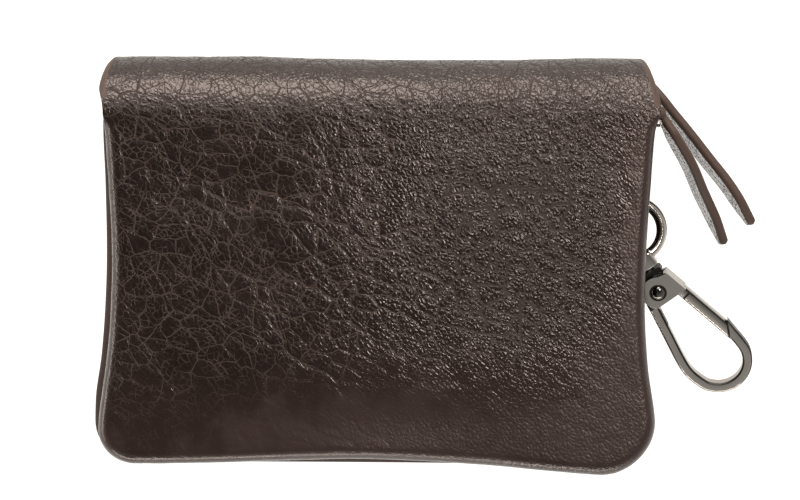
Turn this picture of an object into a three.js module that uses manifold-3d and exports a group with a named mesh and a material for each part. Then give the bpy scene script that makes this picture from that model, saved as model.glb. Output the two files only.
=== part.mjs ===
// A leather mini wallet lying on its back: two zip pouches under one outer leather that folds over the top,
// two leather zip pulls and a swivel snap hook at the right.
// Millimetres. +X is to the right, +Y towards the fold, +Z up. The origin is under the back panel.
import * as THREE from 'three';
import { mergeVertices } from 'three/addons/utils/BufferGeometryUtils.js';
import Module from 'manifold-3d';

const wasm = await Module();
wasm.setup();

// Leather and clearances
const OUTER_LEATHER = 1.8;
const INNER_LEATHER = 1.5;
const GAP = 0.3;

// The fold and the two pouches
const FOLD_RADIUS = 12.5;
const FOLD_Y = 31.8;
const POUCH_DEPTH = 9.2;
const PANEL_LENGTH = 74;
const FRONT_DROP = 1.9;
const RIM_FADE = 4;
const OUTER_RIM = { inset: 3.4, depth: 3.6 };
const INNER_RIM = { inset: 4.5, depth: POUCH_DEPTH - OUTER_RIM.depth - GAP };

// Steps of the leather's mesh: round each rim, across and down each panel, and round the fold
const RIM_STEPS = 4;
const OUTER_STEPS = { across: 16, frontDown: 11, backDown: 9, fold: 12 };
const INNER_STEPS = { across: 10, down: 7 };

// Side edges of each half, from the crest of the fold down to the bottom edge
const FRONT_SIDES = [
  { y: 44.3, left: -57.5, right: 57.3 },
  { y: 42.5, left: -58.5, right: 57.9 },
  { y: 38.3, left: -59.4, right: 59.0 },
  { y: 33.8, left: -58.6, right: 59.7 },
  { y: 28.0, left: -58.2, right: 58.7 },
  { y: 18.0, left: -57.5, right: 57.9 },
  { y: 3.0, left: -56.8, right: 56.9 },
  { y: -10.0, left: -57.1, right: 56.6 },
  { y: -22.0, left: -58.2, right: 57.3 },
  { y: -33.0, left: -59.7, right: 58.8 },
  { y: -46.0, left: -60.0, right: 58.9 },
];
const BACK_SIDES = [
  { y: 44.3, left: -57.5, right: 57.3 },
  { y: 38.3, left: -59.4, right: 58.0 },
  { y: 31.0, left: -60.0, right: 57.2 },
  { y: 18.0, left: -59.5, right: 56.4 },
  { y: 2.0, left: -59.2, right: 55.8 },
  { y: -10.0, left: -59.6, right: 55.6 },
  { y: -20.0, left: -60.4, right: 56.0 },
  { y: -29.0, left: -61.6, right: 56.6 },
  { y: -46.0, left: -61.6, right: 57.0 },
];

// Bottom edges, from left to right
const FRONT_BOTTOM = [
  { x: -60, y: -42.3 },
  { x: -38, y: -42.2 },
  { x: -20, y: -41.7 },
  { x: -6, y: -41.3 },
  { x: 6, y: -41.6 },
  { x: 22, y: -42.6 },
  { x: 36, y: -44.0 },
  { x: 46, y: -44.8 },
  { x: 60, y: -45.2 },
];
const BACK_BOTTOM = [
  { x: -62, y: -42.6 },
  { x: 0, y: -42.9 },
  { x: 60, y: -43.6 },
];
const FRONT_CORNERS = { left: 8, right: 12.5 };
const BACK_CORNERS = { left: 9, right: 11 };

// Broad swells and dents of the front panel: centre, half widths and height
const FRONT_SWELLS = [
  { x: 0, y: -6, wide: 62, long: 46, rise: 1.2 },
  { x: 26, y: 14, wide: 26, long: 20, rise: 0.5 },
  { x: -30, y: -16, wide: 22, long: 18, rise: 0.4 },
  { x: -34, y: 16, wide: 24, long: 9, rise: -0.5 },
  { x: 2, y: -33, wide: 26, long: 7, rise: -0.4 },
];

// Zips: tape and teeth in a section square to the fold line, sliders at the right-hand ends
const TAPE = 1.2;
const TEETH = { tall: 2.8, proud: 1.2 };
const FRONT_ZIP = { top: [30.4, 22.6], foot: [29.2, 16.0], sides: FRONT_SIDES, ringHalf: 2.8 };
const BACK_ZIP = { top: [33.4, 2.7], foot: [32.2, 9.1], sides: BACK_SIDES, ringHalf: 2.1 };
const ZIP_INSET = 2.8;
const SLIDER = { long: 6.0, tall: 4.6, deep: 1.2, bridge: 1.7, bridgeWire: 0.45 };
const PULL_RING = { wire: 0.35, slack: 0.1 };

// Leather pulls, standing on edge: the top view of the run, the height of its middle, and its lean
const STRAP = { wide: 9.0, neck: 2.4, neckLong: 2.0, taper: 5.0, thick: 1.8 };
const STRAP_END = { point: 7.0, tip: 3.4, tipLong: 1.0 };
const STRAP_LOOP = { radius: 1.35, bore: 0.8 };
const STRAP_BENDS = 4;
const SEAM_BLOCK = 400;
const STRAP_LEAN = { angle: THREE.MathUtils.degToRad(13), within: 8 };
const FRONT_STRAP = [
  { x: 61.0, y: 33.2, z: 18.6 },
  { x: 63.6, y: 27.6, z: 15.4 },
  { x: 66.6, y: 21.6, z: 11.5 },
  { x: 69.4, y: 15.8, z: 7.5 },
  { x: 72.3, y: 10.2, z: 4.5 },
  { x: 74.9, y: 4.4, z: 3.9 },
];
const BACK_STRAP = [
  { x: 60.4, y: 38.4, z: 6.8 },
  { x: 62.9, y: 34.9, z: 6.0 },
  { x: 67.2, y: 29.4, z: 5.3 },
  { x: 71.6, y: 23.8, z: 4.8 },
  { x: 76.0, y: 18.2, z: 4.7 },
  { x: 81.2, y: 10.0, z: 4.7 },
];

// Snap hook, in its own plane: x from the swivel to the bowl, y towards the gate, z through its thickness
const HOOK_PLACE = { x: 57.9, y: -1.5, z: 10.2 };
const HOOK_TURN = THREE.MathUtils.degToRad(-51);
const HOOK_SLOPE = THREE.MathUtils.degToRad(14.2);
const HOOK_ROLL = THREE.MathUtils.degToRad(15);
const HOOK_THICK = 2.8;
const HEAD = { top: 2.7, bottom: -3.1, long: 1.2, shoulder: 3.0, neck: 0.4 };
const RIVET = { x: 4.6, y: -0.7, radius: 0.8, head: 1.4, headTall: 0.5 };
const TONGUE = { radius: 3.2, thick: 2.0, pocket: 3.95, foot: -38 };
const SPINE = {
  shoulder: [1.2, -3.8],
  outerStart: [6.9, -4.7],
  outerEnd: [22.9, -7.9],
  outerBend: [25.2, -8.36],
  innerStart: [7.7, -2.7],
  innerEnd: [19, -4.75],
  innerBend: [23.6, -5.62],
};
const BOWL = { x: 25.4, y: 0.24, outer: 7.35, outerFrom: -60, inner: 5.2, innerFrom: -75 };
const NOSE = { outer: [19.3, 7.3], inner: [22.7, 5.55] };
const GATE = {
  heel: [2.06, 3.48],
  tipOuter: [19.1, 6.95],
  tipInner: [22.5, 5.2],
  neck: [9.3, 2.6],
  cheekEnd: [8.6, 1.9],
  cheekFoot: [7.74, -2.5],
  cheekTop: [1.63, 1.36],
  cheekThick: 0.8,
  cheekInside: 1.3,
  cheekRadius: 3.62,
  web: 0.9,
};
const POST = { radius: 0.55, reach: 7.9, collar: 1.6, collarTall: 0.4, button: 1.48, buttonTall: 0.8 };
const BITE = 0.2;

// Bail of the hook: the round eye, its loose hub, and the hidden leather loop that holds it
const BAIL = { x: 54.8, y: 7.5, radius: 6.17, wire: 1.17 };
const HUB = { radius: 2.9, tall: 2.2, at: 6.6, bore: 1.44, well: 2.5, wellTall: 3.5 };
const BAIL_TURN = THREE.MathUtils.degToRad(9.6);
const BAIL_SLOPE = THREE.MathUtils.degToRad(8);
const BAIL_LEFT_Z = 12.15;
const LOOP = { wide: 4.4, thick: 1.1, tail: 11.0, joinedFrom: 8.25, shift: 0.42, slack: 0.12 };

const LEATHER_BROWN = new THREE.MeshStandardMaterial({ color: 0x3a2d27, roughness: 0.55, metalness: 0 });
const ZIP_CLOTH = new THREE.MeshStandardMaterial({ color: 0x2a211d, roughness: 0.85, metalness: 0 });
const GUNMETAL = new THREE.MeshStandardMaterial({ color: 0x6f6a66, roughness: 0.25, metalness: 1 });

// A smooth value from a table with an ordered key column
function fromTable(table, key, column, at) {
  const rising = table[1][key] > table[0][key];
  const rows = rising ? table : [...table].reverse();
  const last = rows.length - 1;
  if (at <= rows[0][key]) return rows[0][column];
  if (at >= rows[last][key]) return rows[last][column];
  let i = 0;
  while (rows[i + 1][key] < at) i += 1;
  const share = (at - rows[i][key]) / (rows[i + 1][key] - rows[i][key]);
  const ease = share * share * (3 - 2 * share);
  return THREE.MathUtils.lerp(rows[i][column], rows[i + 1][column], THREE.MathUtils.lerp(share, ease, 0.5));
}

function frontFace(y) {
  return 2 * FOLD_RADIUS - (FRONT_DROP * (FOLD_Y - y)) / PANEL_LENGTH;
}

function frontSwell(x, y) {
  let rise = 0;
  for (const swell of FRONT_SWELLS) {
    const far = Math.hypot((x - swell.x) / swell.wide, (y - swell.y) / swell.long);
    if (far < 1) rise += swell.rise * (1 - far * far) ** 2;
  }
  return rise;
}

// Stations across a panel: close together on the rolled rims and the corners, wider in the middle
function rimStations(inset, rimSteps) {
  const stations = [];
  for (let i = 0; i < rimSteps; i += 1) {
    stations.push(inset * (1 - Math.cos((i / rimSteps) * (Math.PI / 2))));
  }
  return stations;
}

function columnsBetween(left, right, inset, rimSteps, steps) {
  const rim = rimStations(inset, rimSteps);
  const columns = rim.map((d) => left + d);
  for (let i = 0; i <= steps; i += 1) {
    const share = (1 - Math.cos((Math.PI * i) / steps)) / 2;
    columns.push(THREE.MathUtils.lerp(left + inset, right - inset, share));
  }
  return columns.concat(rim.map((d) => right - d).reverse());
}

// One point of a panel with round bottom corners: its place, how far it is from the edge, and the way out
function panelPoint(half, column, row, rim) {
  const middle = columnsBetween(half.left, half.right, rim.inset, half.rimSteps, half.steps)[column];
  const bottom = fromTable(half.bottom, 'x', 'y', middle);
  const y = row.fromBottom ? bottom + row.d : THREE.MathUtils.lerp(half.top, bottom + rim.inset, row.share);
  const left = fromTable(half.sides, 'y', 'left', y);
  const right = fromTable(half.sides, 'y', 'right', y);
  const x = columnsBetween(left, right, rim.inset, half.rimSteps, half.steps)[column];
  const onLeft = x < (left + right) / 2;
  const corner = onLeft ? half.corners.left : half.corners.right;
  const side = onLeft ? -1 : 1;
  const across = Math.max(0, 1 - (onLeft ? x - left : right - x) / corner);
  const down = Math.max(0, 1 - (y - bottom) / corner);
  const roundAcross = across * Math.sqrt(1 - (down * down) / 2);
  const roundDown = down * Math.sqrt(1 - (across * across) / 2);
  const reach = Math.hypot(roundAcross, roundDown);
  const out = reach > 0 ? [(side * roundAcross) / reach, -roundDown / reach] : [0, 0];
  return {
    x: x + side * (roundAcross - across) * corner,
    y: y + (down - roundDown) * corner,
    inward: Math.max(0, corner * (1 - reach)),
    out,
  };
}

// Outer and inner points of a rolled panel; up is 1 for a face that looks up and -1 for one that looks down
function panelRow(half, row, rim, thick, up, face, swell) {
  const outer = [];
  const inner = [];
  for (let column = 0; column < half.count; column += 1) {
    const point = panelPoint(half, column, row, rim);
    const cosine = Math.max(0, 1 - point.inward / rim.inset);
    const sine = Math.sqrt(1 - cosine * cosine);
    const amount = THREE.MathUtils.smoothstep(half.fadeFrom - point.y, 0, half.fade);
    const z = face(point.y) - up * rim.depth * amount * (1 - sine) + swell(point.x, point.y) * sine;
    const normal = new THREE.Vector3(
      (point.out[0] * cosine * amount) / rim.inset,
      (point.out[1] * cosine * amount) / rim.inset,
      (up * (sine * amount + (1 - amount))) / rim.depth,
    ).normalize();
    const place = new THREE.Vector3(point.x, point.y, z);
    outer.push(place);
    inner.push(place.clone().addScaledVector(normal, -thick));
  }
  return { outer, inner };
}

function panelHalf({ sides, bottom, corners, top, fadeFrom, fade, rimSteps, steps }) {
  const left = fromTable(sides, 'y', 'left', 0);
  const right = fromTable(sides, 'y', 'right', 0);
  const count = 2 * rimSteps + steps + 1;
  return { sides, bottom, corners, top, fadeFrom, fade, rimSteps, steps, count, left, right };
}

function panelRows(rimSteps, steps, inset) {
  const rows = [];
  for (let i = 0; i <= steps; i += 1) {
    rows.push({ fromBottom: false, share: Math.sin(((i / steps) * Math.PI) / 2) });
  }
  for (const d of rimStations(inset, rimSteps).reverse()) rows.push({ fromBottom: true, d });
  return rows;
}

// A closed wall from a grid of outer points and the matching grid of inner points
function wallGeometry(rows) {
  const high = rows.length;
  const wide = rows[0].outer.length;
  const points = [];
  for (const row of rows) points.push(...row.outer);
  for (const row of rows) points.push(...row.inner);
  const at = (i, j, layer) => layer * high * wide + i * wide + j;
  const faces = [];
  const addQuad = (a, b, c, d) => {
    const firstCut = points[a].distanceTo(points[c]) <= points[b].distanceTo(points[d]);
    if (firstCut) faces.push(a, b, c, a, c, d);
    else faces.push(a, b, d, b, c, d);
  };
  for (let i = 0; i < high - 1; i += 1) {
    for (let j = 0; j < wide - 1; j += 1) {
      addQuad(at(i, j, 0), at(i, j + 1, 0), at(i + 1, j + 1, 0), at(i + 1, j, 0));
      addQuad(at(i, j, 1), at(i + 1, j, 1), at(i + 1, j + 1, 1), at(i, j + 1, 1));
    }
  }
  for (let j = 0; j < wide - 1; j += 1) {
    addQuad(at(0, j + 1, 0), at(0, j, 0), at(0, j, 1), at(0, j + 1, 1));
    addQuad(at(high - 1, j, 0), at(high - 1, j + 1, 0), at(high - 1, j + 1, 1), at(high - 1, j, 1));
  }
  for (let i = 0; i < high - 1; i += 1) {
    addQuad(at(i, 0, 0), at(i + 1, 0, 0), at(i + 1, 0, 1), at(i, 0, 1));
    addQuad(at(i + 1, wide - 1, 0), at(i, wide - 1, 0), at(i, wide - 1, 1), at(i + 1, wide - 1, 1));
  }
  const geometry = new THREE.BufferGeometry().setFromPoints(points);
  geometry.setIndex(signedVolume(points, faces) < 0 ? faces.reverse() : faces);
  return geometry;
}

function signedVolume(points, faces) {
  let volume = 0;
  const cross = new THREE.Vector3();
  for (let i = 0; i < faces.length; i += 3) {
    cross.crossVectors(points[faces[i + 1]], points[faces[i + 2]]);
    volume += points[faces[i]].dot(cross);
  }
  return volume / 6;
}

function solidFrom(geometry) {
  const bare = geometry.clone();
  bare.deleteAttribute('normal');
  bare.deleteAttribute('uv');
  const merged = mergeVertices(bare, 1e-4);
  return new wasm.Manifold(
    new wasm.Mesh({
      numProp: 3,
      vertProperties: new Float32Array(merged.attributes.position.array),
      triVerts: new Uint32Array(merged.index.array),
    }),
  );
}

function geometryFrom(solid) {
  const mesh = solid.getMesh();
  const geometry = new THREE.BufferGeometry();
  geometry.setAttribute('position', new THREE.BufferAttribute(new Float32Array(mesh.vertProperties), 3));
  geometry.setIndex(new THREE.BufferAttribute(new Uint32Array(mesh.triVerts), 1));
  return geometry;
}

function addPiece(group, name, geometry, material) {
  const mesh = new THREE.Mesh(geometry, material);
  mesh.name = name;
  group.add(mesh);
  return mesh;
}

// The outer leather: front panel, fold and back panel as one wall
function outerWrap() {
  const steps = { rimSteps: RIM_STEPS, steps: OUTER_STEPS.across };
  const shared = { top: FOLD_Y, fadeFrom: FOLD_Y, fade: RIM_FADE, ...steps };
  const front = panelHalf({ ...shared, sides: FRONT_SIDES, bottom: FRONT_BOTTOM, corners: FRONT_CORNERS });
  const back = panelHalf({ ...shared, sides: BACK_SIDES, bottom: BACK_BOTTOM, corners: BACK_CORNERS });
  const rows = [];
  for (const row of panelRows(RIM_STEPS, OUTER_STEPS.frontDown, OUTER_RIM.inset).reverse()) {
    rows.push(panelRow(front, row, OUTER_RIM, OUTER_LEATHER, 1, frontFace, frontSwell));
  }
  for (let i = 1; i < OUTER_STEPS.fold; i += 1) {
    rows.push(foldRow(Math.PI / 2 - (Math.PI * i) / OUTER_STEPS.fold, front));
  }
  for (const row of panelRows(RIM_STEPS, OUTER_STEPS.backDown, OUTER_RIM.inset)) {
    rows.push(panelRow(back, row, OUTER_RIM, OUTER_LEATHER, -1, () => 0, () => 0));
  }
  return wallGeometry(rows);
}

function foldRow(angle, half) {
  const radial = new THREE.Vector3(0, Math.cos(angle), Math.sin(angle));
  const y = FOLD_Y + FOLD_RADIUS * Math.cos(angle);
  const sides = angle > 0 ? FRONT_SIDES : BACK_SIDES;
  const left = fromTable(sides, 'y', 'left', y);
  const right = fromTable(sides, 'y', 'right', y);
  const outer = [];
  const inner = [];
  for (const x of columnsBetween(left, right, OUTER_RIM.inset, half.rimSteps, half.steps)) {
    const place = new THREE.Vector3(x, FOLD_Y, FOLD_RADIUS).addScaledVector(radial, FOLD_RADIUS);
    outer.push(place);
    inner.push(place.clone().addScaledVector(radial, -OUTER_LEATHER));
  }
  return { outer, inner };
}

// The inner leather of a pouch: a shallow tray whose rim meets the rolled rim of the outer leather
function innerPanel({ sides, bottom, corners, top, up, face }) {
  const rim = { fadeFrom: top + RIM_FADE, fade: RIM_FADE, rimSteps: RIM_STEPS, steps: INNER_STEPS.across };
  const half = panelHalf({ sides, bottom, corners, top, ...rim });
  const rows = [];
  for (const row of panelRows(RIM_STEPS, INNER_STEPS.down, INNER_RIM.inset)) {
    rows.push(panelRow(half, row, INNER_RIM, INNER_LEATHER, up, face, () => 0));
  }
  return wallGeometry(rows);
}

// A closed zip: tape and teeth as one bar along the fold
function zip({ top, foot, sides }) {
  const along = new THREE.Vector2(foot[0] - top[0], foot[1] - top[1]);
  const tall = along.length();
  along.normalize();
  const out = new THREE.Vector2(Math.abs(along.y), -Math.sign(along.y) * along.x);
  const section = new THREE.Shape();
  const corners = [
    [0, -TAPE / 2],
    [tall, -TAPE / 2],
    [tall, TAPE / 2],
    [(tall + TEETH.tall) / 2, TAPE / 2],
    [(tall + TEETH.tall) / 2, TAPE / 2 + TEETH.proud],
    [(tall - TEETH.tall) / 2, TAPE / 2 + TEETH.proud],
    [(tall - TEETH.tall) / 2, TAPE / 2],
    [0, TAPE / 2],
  ];
  const start = new THREE.Vector2(...top);
  const placed = ([s, n]) => start.clone().addScaledVector(along, s).addScaledVector(out, n);
  section.setFromPoints(corners.map(placed));
  const left = fromTable(sides, 'y', 'left', top[0]) + ZIP_INSET;
  const right = fromTable(sides, 'y', 'right', top[0]) - ZIP_INSET;
  const bar = new THREE.ExtrudeGeometry(section, { depth: right - left, bevelEnabled: false });
  const frame = new THREE.Matrix4().set(0, 0, 1, left, 1, 0, 0, 0, 0, 1, 0, 0, 0, 0, 0, 1);
  return { geometry: bar.applyMatrix4(frame), right, out };
}

// A slider on the right-hand end of its zip, with a bridge for the pull ring
function slider({ top, foot }, made) {
  const lift = TAPE / 2 + TEETH.proud + GAP + SLIDER.deep / 2;
  const roof = SLIDER.deep / 2;
  const archX = SLIDER.long / 2 - SLIDER.bridge - SLIDER.bridgeWire;
  const body = new THREE.BoxGeometry(SLIDER.long, SLIDER.deep, SLIDER.tall);
  const arch = new THREE.TorusGeometry(SLIDER.bridge, SLIDER.bridgeWire, 8, 16).translate(archX, roof, 0);
  const above = new THREE.BoxGeometry(SLIDER.long, SLIDER.long, SLIDER.tall);
  above.translate(0, SLIDER.long / 2, 0);
  const geometry = geometryFrom(solidFrom(arch).intersect(solidFrom(above)).add(solidFrom(body)));
  const place = new THREE.Matrix4()
    .makeRotationX(Math.atan2(made.out.y, made.out.x))
    .setPosition(
      made.right - SLIDER.long / 2,
      (top[0] + foot[0]) / 2 + made.out.x * lift,
      (top[1] + foot[1]) / 2 + made.out.y * lift,
    );
  const clear = SLIDER.bridge - SLIDER.bridgeWire;
  const bridge = new THREE.Vector3(archX, roof + clear / 2, 0).applyMatrix4(place);
  const tall = new THREE.Vector3(0, -made.out.y, made.out.x);
  return { geometry: geometry.applyMatrix4(place), bridge, tall };
}

// A wire ring with straight sides and round corners, from |x / a|^4 + |y / b|^4 = 1
function squaredRing(halfLong, halfTall, wire) {
  const ring = new THREE.TorusGeometry(1, wire, 8, 28);
  const place = ring.attributes.position;
  for (let i = 0; i < place.count; i += 1) {
    const angle = Math.atan2(place.getY(i), place.getX(i));
    const beyond = Math.hypot(place.getX(i), place.getY(i)) - 1;
    const grow = (Math.cos(angle) ** 4 + Math.sin(angle) ** 4) ** -0.25;
    const x = Math.cos(angle) * grow;
    const y = Math.sin(angle) * grow;
    const out = new THREE.Vector2(x ** 3 / halfLong, y ** 3 / halfTall).normalize();
    place.setX(i, halfLong * x + out.x * beyond);
    place.setY(i, halfTall * y + out.y * beyond);
  }
  return ring;
}

// The ring that links a slider's bridge to the loop of its leather pull
function pullRing({ bridge, tall }, strap, halfTall) {
  const loop = new THREE.Vector3(strap[0].x, strap[0].y, strap[0].z);
  const way = loop.clone().sub(bridge);
  const across = way.clone().normalize();
  const halfLong = way.length() / 2 + PULL_RING.slack;
  const ring = squaredRing(halfLong, halfTall, PULL_RING.wire);
  const up = tall.clone().addScaledVector(across, -across.dot(tall)).normalize();
  const basis = new THREE.Matrix4().makeBasis(across, up, new THREE.Vector3().crossVectors(across, up));
  return ring.applyMatrix4(basis.setPosition(bridge.clone().add(loop).multiplyScalar(0.5)));
}

// A leather pull: a strap with a pointed end and a small loop, bent along its run
function pullStrap(stations) {
  const curve = new THREE.CatmullRomCurve3(stations.map(({ x, y, z }) => new THREE.Vector3(x, y, z)));
  const length = curve.getLength();
  const half = STRAP.wide / 2;
  const neck = STRAP.neck / 2;
  const outline = new THREE.Shape();
  outline.moveTo(0, -neck);
  outline.lineTo(STRAP.neckLong, -neck);
  outline.lineTo(STRAP.taper, -half);
  outline.lineTo(length - STRAP_END.point, -half);
  outline.lineTo(length - STRAP_END.tipLong, -STRAP_END.tip / 2);
  outline.lineTo(length, -STRAP_END.tip / 4);
  outline.lineTo(length, STRAP_END.tip / 4);
  outline.lineTo(length - STRAP_END.tipLong, STRAP_END.tip / 2);
  outline.lineTo(length - STRAP_END.point, half);
  outline.lineTo(STRAP.taper, half);
  outline.lineTo(STRAP.neckLong, neck);
  outline.lineTo(0, neck);
  const flat = new THREE.ExtrudeGeometry(outline, { depth: STRAP.thick, bevelEnabled: false });
  flat.translate(0, 0, -STRAP.thick / 2);
  const loop = new THREE.CylinderGeometry(STRAP_LOOP.radius, STRAP_LOOP.radius, STRAP.neck, 14);
  const bore = new THREE.CylinderGeometry(STRAP_LOOP.bore, STRAP_LOOP.bore, STRAP.neck * 2, 10);
  let solid = solidFrom(flat).add(solidFrom(loop)).subtract(solidFrom(bore));
  for (let i = 1; i <= STRAP_BENDS; i += 1) {
    const at = STRAP.taper + ((length - STRAP_END.point - STRAP.taper) * i) / (STRAP_BENDS + 1);
    solid = seamAt(solid, at);
  }
  return bendStrap(geometryFrom(solid), curve, length);
}

// Splits a strap's long faces at one station, so that they can bend there
function seamAt(solid, at) {
  const block = new THREE.BoxGeometry(SEAM_BLOCK, SEAM_BLOCK, SEAM_BLOCK);
  const before = block.clone().translate(at - SEAM_BLOCK / 2, 0, 0);
  const beyond = block.clone().translate(at + SEAM_BLOCK / 2, 0, 0);
  const near = geometryFrom(solid.intersect(solidFrom(before)));
  const rest = geometryFrom(solid.intersect(solidFrom(beyond)));
  return joinHalves(near, rest, at);
}

function joinHalves(near, rest, at) {
  const points = [];
  const onSeam = (x) => Math.abs(x - at) < 1e-4;
  for (const half of [near, rest]) {
    const place = half.attributes.position;
    const index = half.index;
    for (let i = 0; i < index.count; i += 3) {
      const ends = [0, 1, 2].map((k) => index.getX(i + k));
      const corners = ends.map((end) => new THREE.Vector3().fromBufferAttribute(place, end));
      if (!corners.every((corner) => onSeam(corner.x))) points.push(...corners);
    }
  }
  return solidFrom(mergeVertices(new THREE.BufferGeometry().setFromPoints(points), 1e-4));
}

function bendStrap(geometry, curve, length) {
  const place = geometry.attributes.position;
  const up = new THREE.Vector3(0, 0, 1);
  for (let i = 0; i < place.count; i += 1) {
    const run = THREE.MathUtils.clamp(place.getX(i) / length, 0, 1);
    const centre = curve.getPointAt(run);
    const tangent = curve.getTangentAt(run);
    const level = new THREE.Vector3(tangent.x, tangent.y, 0).normalize();
    const side = new THREE.Vector3().crossVectors(up, level);
    const lean = STRAP_LEAN.angle * THREE.MathUtils.smoothstep(run * length, 0, STRAP_LEAN.within);
    const width = up.clone().multiplyScalar(Math.cos(lean)).addScaledVector(side, Math.sin(lean));
    const normal = new THREE.Vector3().crossVectors(tangent, width).normalize();
    centre.addScaledVector(tangent, place.getX(i) - run * length);
    centre.addScaledVector(width, place.getY(i));
    centre.addScaledVector(normal, place.getZ(i));
    place.setXYZ(i, centre.x, centre.y, centre.z);
  }
  return geometry;
}

// The hook's own parts
function slab(outline, low, high, segments = 16) {
  const shape = { depth: high - low, bevelEnabled: false, curveSegments: segments };
  return new THREE.ExtrudeGeometry(outline, shape).translate(0, 0, low);
}

function pinAlongZ(x, y, radius, low, high, sides = 20) {
  const pin = new THREE.CylinderGeometry(radius, radius, high - low, sides);
  return pin.rotateX(Math.PI / 2).translate(x, y, (low + high) / 2);
}

function postAlongX(radius, low, high) {
  const post = new THREE.CylinderGeometry(radius, radius, high - low, 16);
  return post.rotateZ(Math.PI / 2).translate((low + high) / 2, 0, 0);
}

function hookOutline() {
  const outline = new THREE.Shape();
  const top = Math.atan2(HEAD.neck - RIVET.y, -Math.sqrt(TONGUE.radius ** 2 - (HEAD.neck - RIVET.y) ** 2));
  const low = THREE.MathUtils.degToRad(TONGUE.foot);
  outline.moveTo(0, HEAD.bottom);
  outline.lineTo(0, HEAD.top);
  outline.lineTo(HEAD.shoulder - HEAD.top, HEAD.shoulder);
  outline.lineTo(HEAD.long, HEAD.shoulder);
  outline.lineTo(HEAD.long, HEAD.neck);
  outline.absarc(RIVET.x, RIVET.y, TONGUE.radius, top, low, true);
  outline.lineTo(...SPINE.innerStart);
  outline.lineTo(...SPINE.innerEnd);
  outline.quadraticCurveTo(...SPINE.innerBend, ...bowlPoint(BOWL.inner, BOWL.innerFrom));
  outline.absarc(BOWL.x, BOWL.y, BOWL.inner, THREE.MathUtils.degToRad(BOWL.innerFrom), Math.PI / 2, false);
  outline.lineTo(...NOSE.inner);
  outline.lineTo(...NOSE.outer);
  outline.lineTo(...bowlPoint(BOWL.outer, 90));
  outline.absarc(BOWL.x, BOWL.y, BOWL.outer, Math.PI / 2, THREE.MathUtils.degToRad(BOWL.outerFrom), true);
  outline.quadraticCurveTo(...SPINE.outerBend, ...SPINE.outerEnd);
  outline.lineTo(...SPINE.outerStart);
  outline.lineTo(...SPINE.shoulder);
  return outline;
}

function bowlPoint(radius, degrees) {
  const angle = THREE.MathUtils.degToRad(degrees);
  return [BOWL.x + radius * Math.cos(angle), BOWL.y + radius * Math.sin(angle)];
}

function hookBody() {
  const reach = HOOK_THICK;
  let solid = solidFrom(slab(hookOutline(), -HOOK_THICK / 2, HOOK_THICK / 2));
  for (const side of [1, -1]) {
    const low = Math.min(side * (TONGUE.thick / 2), side * reach);
    const high = Math.max(side * (TONGUE.thick / 2), side * reach);
    solid = solid.subtract(solidFrom(pinAlongZ(RIVET.x, RIVET.y, TONGUE.pocket, low, high, 28)));
  }
  const bore = pinAlongZ(RIVET.x, RIVET.y, RIVET.radius + GAP, -reach, reach);
  const post = solidFrom(postAlongX(POST.radius, -POST.reach - BITE, BITE));
  const collar = solidFrom(postAlongX(POST.collar, -POST.collarTall, BITE));
  const button = solidFrom(postAlongX(POST.button, -POST.reach - POST.buttonTall, -POST.reach));
  return geometryFrom(solid.subtract(solidFrom(bore)).add(post).add(collar).add(button));
}

// The gate: two cheeks round the tongue, the web that joins them, and the bar that closes the hook
function hookGate() {
  const outerSlope = (GATE.tipOuter[1] - GATE.heel[1]) / (GATE.tipOuter[0] - GATE.heel[0]);
  const onOuterEdge = (x) => [x, GATE.heel[1] + outerSlope * (x - GATE.heel[0])];
  const angleTo = ([x, y]) => Math.atan2(y - RIVET.y, x - RIVET.x);
  const outside = GATE.cheekInside + GATE.cheekThick;
  const outerEnd = onOuterEdge(GATE.cheekEnd[0]);
  const cheek = new THREE.Shape();
  cheek.moveTo(...GATE.heel);
  cheek.lineTo(...outerEnd);
  cheek.lineTo(...GATE.cheekEnd);
  cheek.lineTo(...GATE.cheekFoot);
  cheek.absarc(RIVET.x, RIVET.y, GATE.cheekRadius, angleTo(GATE.cheekFoot), angleTo(GATE.cheekTop), true);
  const web = new THREE.Shape();
  web.moveTo(...GATE.heel);
  web.lineTo(...outerEnd);
  web.lineTo(outerEnd[0], outerEnd[1] - GATE.web);
  web.lineTo(GATE.heel[0], GATE.heel[1] - GATE.web);
  const bar = new THREE.Shape();
  bar.moveTo(outerEnd[0] - GATE.web, outerEnd[1] - GATE.web);
  bar.lineTo(...onOuterEdge(outerEnd[0] - GATE.web));
  bar.lineTo(...GATE.tipOuter);
  bar.lineTo(...GATE.tipInner);
  bar.lineTo(...GATE.neck);
  let solid = solidFrom(slab(web, -outside, outside));
  solid = solid.add(solidFrom(slab(bar, -HOOK_THICK / 2, HOOK_THICK / 2)));
  solid = solid.add(solidFrom(slab(cheek, GATE.cheekInside, outside)));
  solid = solid.add(solidFrom(slab(cheek, -outside, -GATE.cheekInside)));
  const bore = pinAlongZ(RIVET.x, RIVET.y, RIVET.radius + GAP, -2 * outside, 2 * outside);
  return geometryFrom(solid.subtract(solidFrom(bore)));
}

function gateRivet() {
  const seat = GATE.cheekInside + GATE.cheekThick + GAP;
  let solid = solidFrom(pinAlongZ(RIVET.x, RIVET.y, RIVET.radius, -seat - BITE, seat + BITE, 16));
  for (const low of [seat, -seat - RIVET.headTall]) {
    solid = solid.add(solidFrom(pinAlongZ(RIVET.x, RIVET.y, RIVET.head, low, low + RIVET.headTall, 16)));
  }
  return geometryFrom(solid);
}

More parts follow.
